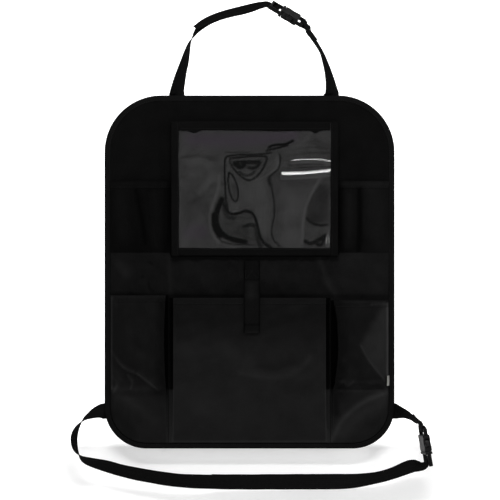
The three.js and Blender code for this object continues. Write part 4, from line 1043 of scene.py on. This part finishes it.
# In each pocket the worn lines are painted paler, partly as wear on creases and partly as painted highlight
# on folds, edges and the mouth; the shaded lines are painted shade; and the outlined part is painted paler
# as lit and kept out of the shade.
side_pockets = {
    "lower_left_pocket": {
        "side": -1,
        "mouth": -36.0,
        "bow": 3,
        "folds": [
            (long_crease, 2.8, 1.8),
            (branch_crease, 2.2, 1.2),
            ([(-197, -149), (-205, -160), (-196, -172), (-204, -180)], 2.6, 1.0),
            (short_crease, 2.4, 1.0),
            ([(-206, -132), (-184, -150)], 6.0, -1.4),
            ([(-216, -182), (-178, -185), (-130, -182)], 3.0, 1.0),
            ([(-214, -190), (-178, -194), (-130, -191)], 4.0, -1.3),
            ([(-150, -52), (-147, -130)], 7.0, 1.6),
            ([(-172, -54), (-170, -120)], 7.0, -1.5),
            ([(-194, -54), (-190, -118)], 7.0, 1.5),
            ([(-202, -192), (-170, -212), (-148, -236)], 7.0, 1.6),
            ([(-206, -214), (-182, -240)], 7.0, -1.2),
        ],
        "worn": [
            (long_crease, 1.5, 0.1),
            (branch_crease, 1.3, 0.11),
            ([(-212, -150), (-200, -166), (-208, -180)], 5, 0.055),
            ([(-213, -162), (-203, -172), (-211, -186)], 2.2, 0.09),
            (short_crease, 2.0, 0.08),
            ([(-213.6, -40), (-214.2, -120), (-213.4, -180)], 1.8, 0.24),
            ([(-213, -38), (-206, -52)], 3, 0.05),
            ([(-202, -194), (-172, -210), (-150, -232)], 9, 0.028),
            ([(-212, -38), (-131, -38)], 1.5, 0.04),
            ([(-166, -76), (-162, -130)], 8, 0.014),
            ([(-190, -70), (-186, -118)], 6, 0.012),
        ],
        "shaded": [
            ([(-133, -50), (-131, -110), (-133, -176)], 24, 0.92),
            ([(-206, -220), (-180, -250)], 12, 0.4),
        ],
        "lit_part": [(-217, -186), (-128, -186), (-128, -262), (-217, -262)],
        "lit_part_share": 0.0,
    },
    "lower_right_pocket": {
        "side": 1,
        "mouth": -44.0,
        "bow": 9,
        "folds": [
            (facet_edge, 2.6, 2.0),
            ([(172, -114), (186, -86), (206, -52)], 7.0, -1.8),
            ([(160, -110), (172, -60)], 8.0, 1.5),
            ([(148, -56), (143, -130)], 7.0, -1.4),
            (cross_fold, 3.0, -2.4),
            ([(131, -172), (209, -173)], 3.5, 1.7),
            (packing_creases, 2.2, 1.3),
            ([(178, -181), (196, -170), (209, -176)], 3.0, 1.2),
            (foot_fold, 5.0, 3.0),
            ([(150, -250), (178, -222), (205, -210)], 6.0, 1.2),
        ],
        "worn": [
            (facet_edge, 1.5, 0.1),
            ([(131, -46), (208, -46)], 1.5, 0.05),
            ([(131, -53), (208, -53)], 2.2, 0.025),
            ([(213.8, -50), (214.4, -110), (213.8, -160)], 2.2, 0.3),
            ([(188, -50), (214, -49)], 2.0, 0.12),
            ([(200, -130), (211, -76)], 8, 0.02),
            (foot_fold, 4.5, 0.09),
            ([(144, -248), (172, -217), (206, -202)], 13, 0.05),
            ([(196, -196), (208, -192)], 7, 0.03),
            (packing_creases, 1.6, 0.1),
        ],
        "shaded": [
            ([(134, -50), (141, -110), (135, -178)], 23, 0.95),
            ([(133, -188), (134, -218)], 8, 0.8),
            (cross_fold, 2.0, 0.6),
            ([(190, -236), (212, -214)], 10, 0.3),
        ],
        "lit_part": [(172, -115), (178, -100), (189, -80), (207, -50), (216, -56), (216, -174),
          (198, -156), (184, -139)],
        "lit_part_share": 0.045,
    },
}
binding_overlap = 9.2
inner_edge = 129.3
front_end = 0.48
painted_shade_share = 0.58
side_heights = [0, 0.4, 0.78, 0.95, 1.03, 1.06, 1.04, 1.01, 1.0, 0.42, 0, 0]
side_across = [0, 0.03, 0.09, 0.2, 0.38, 0.56, 0.74, 0.9, 1]
side_shares = np.array([0, 6, 12, 22, 38, 53, 69, 83, 91, 104, 120, 123]) / 61.5 - 1


def side_pocket(facts, rows):
    """The form of a lower side pocket, from the binding over its front to its gusset"""
    side, mouth = facts["side"], facts["mouth"]

    def place(u, v):
        """A place on the pocket's cloth, across it by u and up it by v"""
        z = spread(v, rows)
        down = np.clip((mouth - z) / (mouth - crease_height), 0, 1)
        below = np.clip((crease_height - z) / (crease_height - pocket_foot), 0, 1)
        full = np.where(z > crease_height, 0.82 + 0.18 * down**2, (1 - below) * (1 + 0.35 * below))
        full = np.clip(full, 0.015, 1)
        outer = reach(z, binding_overlap) - 0.2
        edge = inner_edge + facts["bow"] * full * np.sin(math.pi * down)
        knots = [outer + (edge - outer) * share for share in side_across]
        knots += [inner_edge + 13 * full, 129.0, 126.1]
        x = side * through(side_shares, knots, -side * u)
        depth = through(side_shares, [14 * full * height for height in side_heights], -side * u)
        dents = drawn(x, z, facts["folds"]) + 0.75 * crumpled(x, z / 1.6, 13, 11 + side)
        front = -side * u < front_end
        hem = hem_step(z, mouth - hem_height) * front
        inside = np.clip((outer - np.abs(x)) / 10, 0, 1) * np.clip((np.abs(x) - edge) / 8, 0, 1) * front
        depth = np.clip(depth + inside * full * dents, 0, None)
        return x, -(lying_flat + depth + hem), z

    return place


def inside_of(x, z, corners, soft):
    """1 inside an outline, fading to 0 across its edge"""
    inside = np.zeros(np.shape(x), dtype=bool)
    edge = np.full(np.shape(x), 1e9)
    for (x0, z0), (x1, z1) in zip(corners, corners[1:] + corners[:1]):
        crosses = (z0 > z) != (z1 > z)
        inside ^= crosses & (x < x0 + (x1 - x0) * (z - z0) / (z1 - z0 if z1 != z0 else 1))
        dx, dz = x1 - x0, z1 - z0
        share = np.clip(((x - x0) * dx + (z - z0) * dz) / (dx * dx + dz * dz), 0, 1)
        edge = np.minimum(edge, np.hypot(x - x0 - share * dx, z - z0 - share * dz))
    return np.clip(0.5 + np.where(inside, edge, -edge) / soft, 0, 1)


def side_highlights_and_wear(facts):
    """Where a side pocket is painted paler, partly as wear on its creases and partly as painted highlight
    """
    def wear_and_highlight(x, z):
        """The share of paler colour at a place, partly wear and partly painted highlight"""
        gusset = np.clip(130 - np.abs(x), 0, 1) * np.clip((-182 - z) / 4, 0, 1)
        facet = facts["lit_part_share"] * inside_of(x, z, facts["lit_part"], 14)
        return drawn(x, z, facts["worn"]) + facet + 0.05 * gusset

    return wear_and_highlight


def side_shade(facts):
    """Where a side pocket is painted darker as shade"""
    def shade(x, z):
        """The share of painted shade at a place"""
        high = np.clip((z - crease_height) / 8, 0, 1)
        base = 0.16 + (painted_shade_share - 0.16) * high * (1 - inside_of(x, z, facts["lit_part"], 9))
        return np.maximum(base, strongest(x, z, facts["shaded"]))

    return shade


for name, facts in side_pockets.items():
    rows = lower_rows(facts["mouth"])
    shape = side_pocket(facts, rows)
    pocket, cut, area = cloth(name + "_cloth", 124, len(rows) - 1, shape, cloth_thickness)
    mark(pocket, "wear_and_highlight", side_highlights_and_wear(facts))
    mark(pocket, "shade", side_shade(facts))
    dress(pocket, coated_cloth, "coated_cloth", name)
    paint_gusset_shade(pocket, gusset_shade_cloth, lambda across, side=facts["side"]: -side * across > 30.5)
    across = -facts["side"] * np.linspace(-0.9, 0.44, 60)
    side_seam = sewn(name + "_hem_seam", [hem_row(shape, across, facts["mouth"] - seam_below_mouth, rows)])
    dress(side_seam, sewing_thread, "coated_cloth")


# Straps and closure tab
# Nylon webbing 25 mm wide. Each strap is two lengths sewn to the back of the panel at its edge, threaded
# through the buckle and folded back, so it lies double for a way and turns on itself between its ends.
webbing_width = 25.0
webbing_thickness = 1.4


def bands_of(node):
    """The centres, directions across and normals of a band's rings, in order, in metres. A ring is two
    edges as long as the webbing is wide and as far apart as it is thick. Rings joined by an edge are next
    to each other."""
    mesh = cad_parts[node].data
    points = np.round(points_of(mesh), 7)
    keys, index = np.unique(np.round(points * 1e6).astype(int), axis=0, return_inverse=True)
    places = np.zeros((len(keys), 3))
    places[index.ravel()] = points
    loops = np.empty(len(mesh.loops), dtype=int)
    mesh.loops.foreach_get("vertex_index", loops)
    faces = index.ravel()[loops].reshape(-1, 3)
    sides = np.concatenate([faces[:, [0, 1]], faces[:, [1, 2]], faces[:, [2, 0]]])
    edges = np.unique(np.sort(sides, axis=1), axis=0)
    length = np.linalg.norm(places[edges[:, 0]] - places[edges[:, 1]], axis=1)
    across = edges[np.abs(length - webbing_width / 1000) < 4e-6]
    joined = {tuple(edge) for edge in edges.tolist()}
    rings, used = [], set()
    middles = places[across].mean(axis=1)
    for i, (a, b) in enumerate(across.tolist()):
        if i in used:
            continue
        for j in np.argsort(np.linalg.norm(middles - middles[i], axis=1))[1:8]:
            c, d = across[j].tolist()
            if j in used or {a, b} & {c, d}:
                continue
            for c, d in ((c, d), (d, c)):
                if tuple(sorted((a, c))) in joined and tuple(sorted((b, d))) in joined:
                    gap = np.linalg.norm(places[a] - places[c])
                    if abs(gap - webbing_thickness / 1000) < 1e-5 and i not in used:
                        rings.append([a, b, d, c])
                        used |= {i, int(j)}
    owner = {v: i for i, ring in enumerate(rings) for v in ring}
    beside = {i: set() for i in range(len(rings))}
    for a, b in edges.tolist():
        if a in owner and b in owner and owner[a] != owner[b]:
            beside[owner[a]].add(owner[b])
            beside[owner[b]].add(owner[a])
    ends = [i for i, near in beside.items() if len(near) == 1]
    line = [ends[0]]
    while len(line) < len(rings):
        further = [i for i in beside[line[-1]] if i not in line]
        if not further:
            break
        line.append(further[0])
    ordered = [places[rings[line[0]]]]
    for i in line[1:]:
        ring = places[rings[i]]
        turns = [ring, ring[[1, 0, 3, 2]], ring[[3, 2, 1, 0]], ring[[2, 3, 0, 1]]]
        ordered.append(min(turns, key=lambda turn: np.linalg.norm(turn - ordered[-1])))
    ordered = np.array(ordered)
    centre = ordered.mean(axis=1)
    side = ordered[:, 1] + ordered[:, 2] - ordered[:, 0] - ordered[:, 3]
    normal = ordered[:, 0] + ordered[:, 1] - ordered[:, 2] - ordered[:, 3]
    side = side / np.linalg.norm(side, axis=1, keepdims=True)
    normal = normal / np.linalg.norm(normal, axis=1, keepdims=True)
    return centre, side, normal


def webbing(name, node, step=2.4, narrow=0.0, thick_end=0.0):
    """A band of webbing along a node's line, with rounded selvedges"""
    centre, side, normal = bands_of(node)
    run = np.concatenate([[0], np.cumsum(np.linalg.norm(np.diff(centre, axis=0), axis=1))])
    if np.dot(np.cross(side[0], centre[1] - centre[0]), normal[0]) < 0:
        side = -side
    count = int(run[-1] * 1000 / step)
    shares = run / run[-1] * 2 - 1

    def place(u, v):
        """A place on the webbing, across it by u and along it by v"""
        middle = np.array([through(shares, centre[:, i], v) for i in range(3)])
        out = np.array([np.interp(v, shares, side[:, i]) for i in range(3)])
        face = np.array([np.interp(v, shares, normal[:, i]) for i in range(3)])
        out = out / np.linalg.norm(out, axis=0)
        face = face / np.linalg.norm(face, axis=0)
        along = (v + 1) / 2 * run[-1] * 1000
        edge = 0.12 * np.sin(along / 7.3) * np.abs(u) ** 3
        lift = thick_end * np.clip((along - run[-1] * 1000 + 13) / 1.2, 0, 1)
        half = (webbing_width / 2 - narrow + edge) / 1000
        return (middle + out * u * half + face * (webbing_thickness / 2 + lift) / 1000) * 1000

    band, _, _ = cloth(name, 10, count, place, 0)
    bpy.ops.object.modifier_add(type="SOLIDIFY")
    wall = band.modifiers[-1]
    wall.thickness = (webbing_thickness + thick_end / 2) / 1000
    wall.offset = -1
    bpy.ops.object.modifier_apply(modifier=wall.name)
    bpy.ops.object.modifier_add(type="BEVEL")
    rounding = band.modifiers[-1]
    rounding.width = 0.0004
    rounding.segments = 2
    rounding.limit_method = "ANGLE"
    rounding.angle_limit = math.radians(60)
    bpy.ops.object.modifier_apply(modifier=rounding.name)
    bpy.ops.object.shade_smooth_by_angle(angle=smooth_below)
    return band


def webbing_finish(name):
    """Nylon webbing: slanting ribs run across it in a chevron, with a tight selvedge at each edge"""
    rib_pitch, column_pitch = 0.0022, 0.003
    material, tree, shader = started(name)
    flat = add(tree, "UVMap", {"uv_map": "cloth"})
    parts = add(tree, "SeparateXYZ", None, {0: flat.outputs[0]})
    fold = add(tree, "Math", {"operation": "PINGPONG", 1: column_pitch}, {0: parts.outputs["X"]})
    along = {0: fold.outputs[0], 2: parts.outputs["Y"]}
    slant = add(tree, "Math", {"operation": "MULTIPLY_ADD", 1: 0.8}, along)
    turn = add(tree, "Math", {"operation": "MULTIPLY", 1: 2 * math.pi / rib_pitch}, {0: slant.outputs[0]})
    rib = add(tree, "Math", {"operation": "SINE"}, {0: turn.outputs[0]})
    columns = {"operation": "MULTIPLY", 1: 2 * math.pi / column_pitch}
    column = add(tree, "Math", columns, {0: parts.outputs["X"]})
    groove = add(tree, "Math", {"operation": "COSINE"}, {0: column.outputs[0]})
    woven_in = {0: groove.outputs[0], 2: rib.outputs[0]}
    both = add(tree, "Math", {"operation": "MULTIPLY_ADD", 1: 0.45}, woven_in)
    height = add(tree, "MapRange", {1: -1.4, 2: 1.4}, {0: both.outputs[0]})
    fuzz = add(tree, "TexNoise", {"Scale": 300.0, "Detail": 3.0}, {"Vector": flat.outputs[0]})
    blend = add(tree, "Math", {"operation": "MULTIPLY"}, {0: height.outputs[0], 1: fuzz.outputs["Fac"]})
    ribbed = {"data_type": "RGBA", 6: colour("#060606"), 7: colour("#1a1a1a")}
    tone = add(tree, "Mix", ribbed, {0: blend.outputs[0]})
    # The shade mark darkens the webbing as painted shade
    pressed = add(tree, "Attribute", {"attribute_name": "shade"})
    marked = {0: pressed.outputs["Fac"], 6: tone.outputs[2]}
    shaded = add(tree, "Mix", {"data_type": "RGBA", 7: colour("#020202")}, marked)
    relief = add(tree, "Bump", {"Strength": 0.8, "Distance": 0.0003}, {"Height": height.outputs[0]})
    dull = add(tree, "MapRange", {3: 0.55, 4: 0.8}, {0: fuzz.outputs["Fac"]})
    lustre = {"Specular IOR Level": 0.02, "Sheen Weight": 0.003, "Sheen Tint": colour("#8c8c90")}
    driven = {"Base Color": shaded.outputs[2], "Roughness": dull.outputs[0], "Normal": relief.outputs[0]}
    set_up(tree, shader, lustre, driven)
    return material


# Nylon webbing with 1.1 mm ribs drawn at 2.2 mm; a slightly lighter black than the cloth, with a dull shine
strap_webbing = webbing_finish("black_nylon_webbing")
for node in ("top_strap_left", "top_strap_right", "bottom_strap_left", "bottom_strap_right"):
    strap = webbing(node + "_webbing", node, narrow=0.5)
    if node == "bottom_strap_left":
        # Painted shade darkens the left bend of the lower strap
        mark(strap, "shade", lambda x, z: 0.85 * np.clip((-252 - x) / 8, 0, 1))
    dress(strap, strap_webbing, "webbing", node)


def boxed(x0, x1, z0, z1, y, outward):
    """The rows of a sewn box with a cross in it"""
    square = [(x0, y, z0), (x1, y, z0), (x1, y, z1), (x0, y, z1), (x0, y, z0)]
    crossed = [[(x0, y, z0), (x1, y, z1)], [(x1, y, z0), (x0, y, z1)]]
    return [(row, (0, outward, 0)) for row in [*zip(square, square[1:]), *crossed]]


strap_boxes = []
behind_strap = 0.72
for middle in (-113.0, 127.0):
    strap_boxes += boxed(middle - 9.5, middle + 9.5, 229, 256, behind_strap, 1)
for side in (-1, 1):
    strap_boxes += boxed(side * 180, side * 207, -225.5, -206.5, behind_strap, 1)
strap_seams = sewn("strap_box_seams", strap_boxes, pitch=2.6)
dress(strap_seams, sewing_thread, "webbing")

tab = webbing("closure_tab_webbing", "closure_tab", 1.6, 0.2, 0.5)
tab_middle = 3.5
# Painted highlights on the raised middle and along the end
tab_highlights = [([(3, -22), (3, -34)], 7, 0.03), ([(-8, -93), (15, -93)], 1.5, 0.03)]
tab_shaded = [([(-9, -81), (16, -81)], 1.5, 0.6), ([(-9, -12), (16, -12)], 1.5, 0.5)]
mark(tab, "wear_and_highlight", lambda x, z: drawn(x, z, tab_highlights))
# Darker by a little all over, with painted shade along both long edges as contact shadow, over the sewn box
# and in two lines across it
mark(
    tab,
    "shade",
    lambda x, z: 0.15
    + 0.65 * np.clip((np.abs(x - tab_middle) - 9.5) / 2.5, 0, 1)
    + 0.2 * np.clip((z + 12) / 4, 0, 1)
    + drawn(x, z, tab_shaded),
)
# The tab is the same webbing, woven closer and blacker
tab_webbing = woven("black_tab_webbing", "#080808", "#171717", 0.9, 0.22, 0.004, 0.015, 0.8)
dress(tab, tab_webbing, "webbing", "closure_tab")
tab_rows = boxed(tab_middle - 10, tab_middle + 10, -12, 14, -7.05, -1)
tab_seams = sewn("closure_tab_seams", tab_rows, pitch=2.6)
dress(tab_seams, sewing_thread, "webbing")


# Hook patch and loop patch
# Two rectangles of touch fastener, stiff nylon hooks under the tab and soft brushed loops on the pocket.
fastener_tones = {"tab_hook_patch": ("#0c0c0c", 700.0), "tab_loop_patch": ("#111111", 1200.0)}


def fastener(name, tone, scale):
    """Touch fastener: a close field of tiny nylon hooks or loops"""
    material, tree, shader = started(name)
    place = add(tree, "TexCoord")
    dots = add(tree, "TexVoronoi", {"Scale": scale}, {"Vector": place.outputs["Object"]})
    piled = {"data_type": "RGBA", 6: colour("#252525"), 7: colour(tone)}
    mixed = add(tree, "Mix", piled, {0: dots.outputs["Distance"]})
    pile = add(tree, "Bump", {"Strength": 1.0, "Distance": 0.0006}, {"Height": dots.outputs["Distance"]})
    driven = {"Base Color": mixed.outputs[2], "Normal": pile.outputs[0]}
    set_up(tree, shader, {"Roughness": 0.8, "Specular IOR Level": 0.1}, driven)
    return material


# Nylon hooks drawn 1.4 mm apart, and softer nylon loops drawn 0.8 mm apart
for node, (tone, scale) in fastener_tones.items():
    low, high = (np.array(corner) * 1000 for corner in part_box(node))

    def patch_place(u, v, low=low, high=high):
        """A place on the patch, which is slightly uneven"""
        z = low[2] + (high[2] - low[2]) * (v + 1) / 2
        x = low[0] + (high[0] - low[0]) * (u + 1) / 2
        return x, low[1] + 0.12 * (1 - v) / 2 + 0.05 * np.sin(x * 2.1) * np.sin(z * 2.3), z

    patch, cut, area = cloth(node + "_pile", 24, 34, patch_place, 0.85)
    dress(patch, fastener("nylon_" + node, tone, scale), "fastener", node)


# Bare tag
# A small folded label of satin ribbon, sewn into the right edge with nothing on it. It is the only pale
# piece.
tag_low, tag_high = (np.array(corner) * 1000 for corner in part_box("side_tag"))
tag_edge = 216.2


def tag_place(u, v):
    """A place on the tag's loop, which leans out of the edge"""
    z = tag_low[2] + 3 + (tag_high[2] - tag_low[2] - 4.5) * (v + 1) / 2
    loop = (u + 1) / 2
    x = tag_edge - 3.6 * np.sin(math.pi * loop) ** 0.8 + 0.3 * np.sin(z / 7)
    lean = 11.0 + 0.8 * np.sin(z / 9)
    y = -(6.2 + lean * np.sin(math.pi * loop) ** 0.9 + 0.7 * np.cos(math.pi * loop))
    return x, y, z


tag, tag_cut, tag_area = cloth("side_tag_ribbon", 28, 16, tag_place, 0.25)
# Satin ribbon of a greyish white, smoother than any other cloth here, its yarns drawn at 0.7 mm
tag_satin = woven("pale_satin_ribbon", "#787874", "#8e8e8a", 0.7, 0.1, 0.02, 0.1, 0.5)
dress(tag, tag_satin, "tag_cloth", "side_tag")


# Buckles
# Side-release buckles of moulded acetal, black, with the light grain of a spark-eroded mould and smoother,
# brighter edges where webbing and hands have rubbed them. They keep the form they have in the CAD.
buckle_parts = ["top_buckle_socket", "top_buckle_plug", "bottom_buckle_socket", "bottom_buckle_plug"]


def moulded(name):
    """Moulded acetal: even black with a fine grain and a soft gloss"""
    material, tree, shader = started(name)
    place = add(tree, "TexCoord")
    grain = add(tree, "TexNoise", {"Scale": 900.0, "Detail": 2.0}, {"Vector": place.outputs["Object"]})
    rubbed = add(tree, "TexNoise", {"Scale": 110.0, "Detail": 3.0}, {"Vector": place.outputs["Object"]})
    edge = add(tree, "NewGeometry")
    worn = add(tree, "MapRange", {1: 0.52, 2: 0.6, 3: 0.0, 4: 0.5}, {0: edge.outputs["Pointiness"]})
    tones = {"data_type": "RGBA", 6: colour("#0a0a0a"), 7: colour("#232323")}
    tone = add(tree, "Mix", tones, {0: worn.outputs[0]})
    gloss = add(tree, "MapRange", {1: 0.3, 2: 0.7, 3: 0.26, 4: 0.44}, {0: rubbed.outputs["Fac"]})
    bump = add(tree, "Bump", {"Strength": 0.25, "Distance": 0.0001}, {"Height": grain.outputs["Fac"]})
    driven = {"Base Color": tone.outputs[2], "Roughness": gloss.outputs[0], "Normal": bump.outputs[0]}
    set_up(tree, shader, {"IOR": 1.48, "Specular IOR Level": 0.1}, driven)
    return material


# Black acetal with a soft gloss, its grain drawn at about 1 mm
acetal = moulded("black_moulded_acetal")
for node in buckle_parts:
    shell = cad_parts[node]
    for material_slot in shell.material_slots:
        material_slot.material = acetal
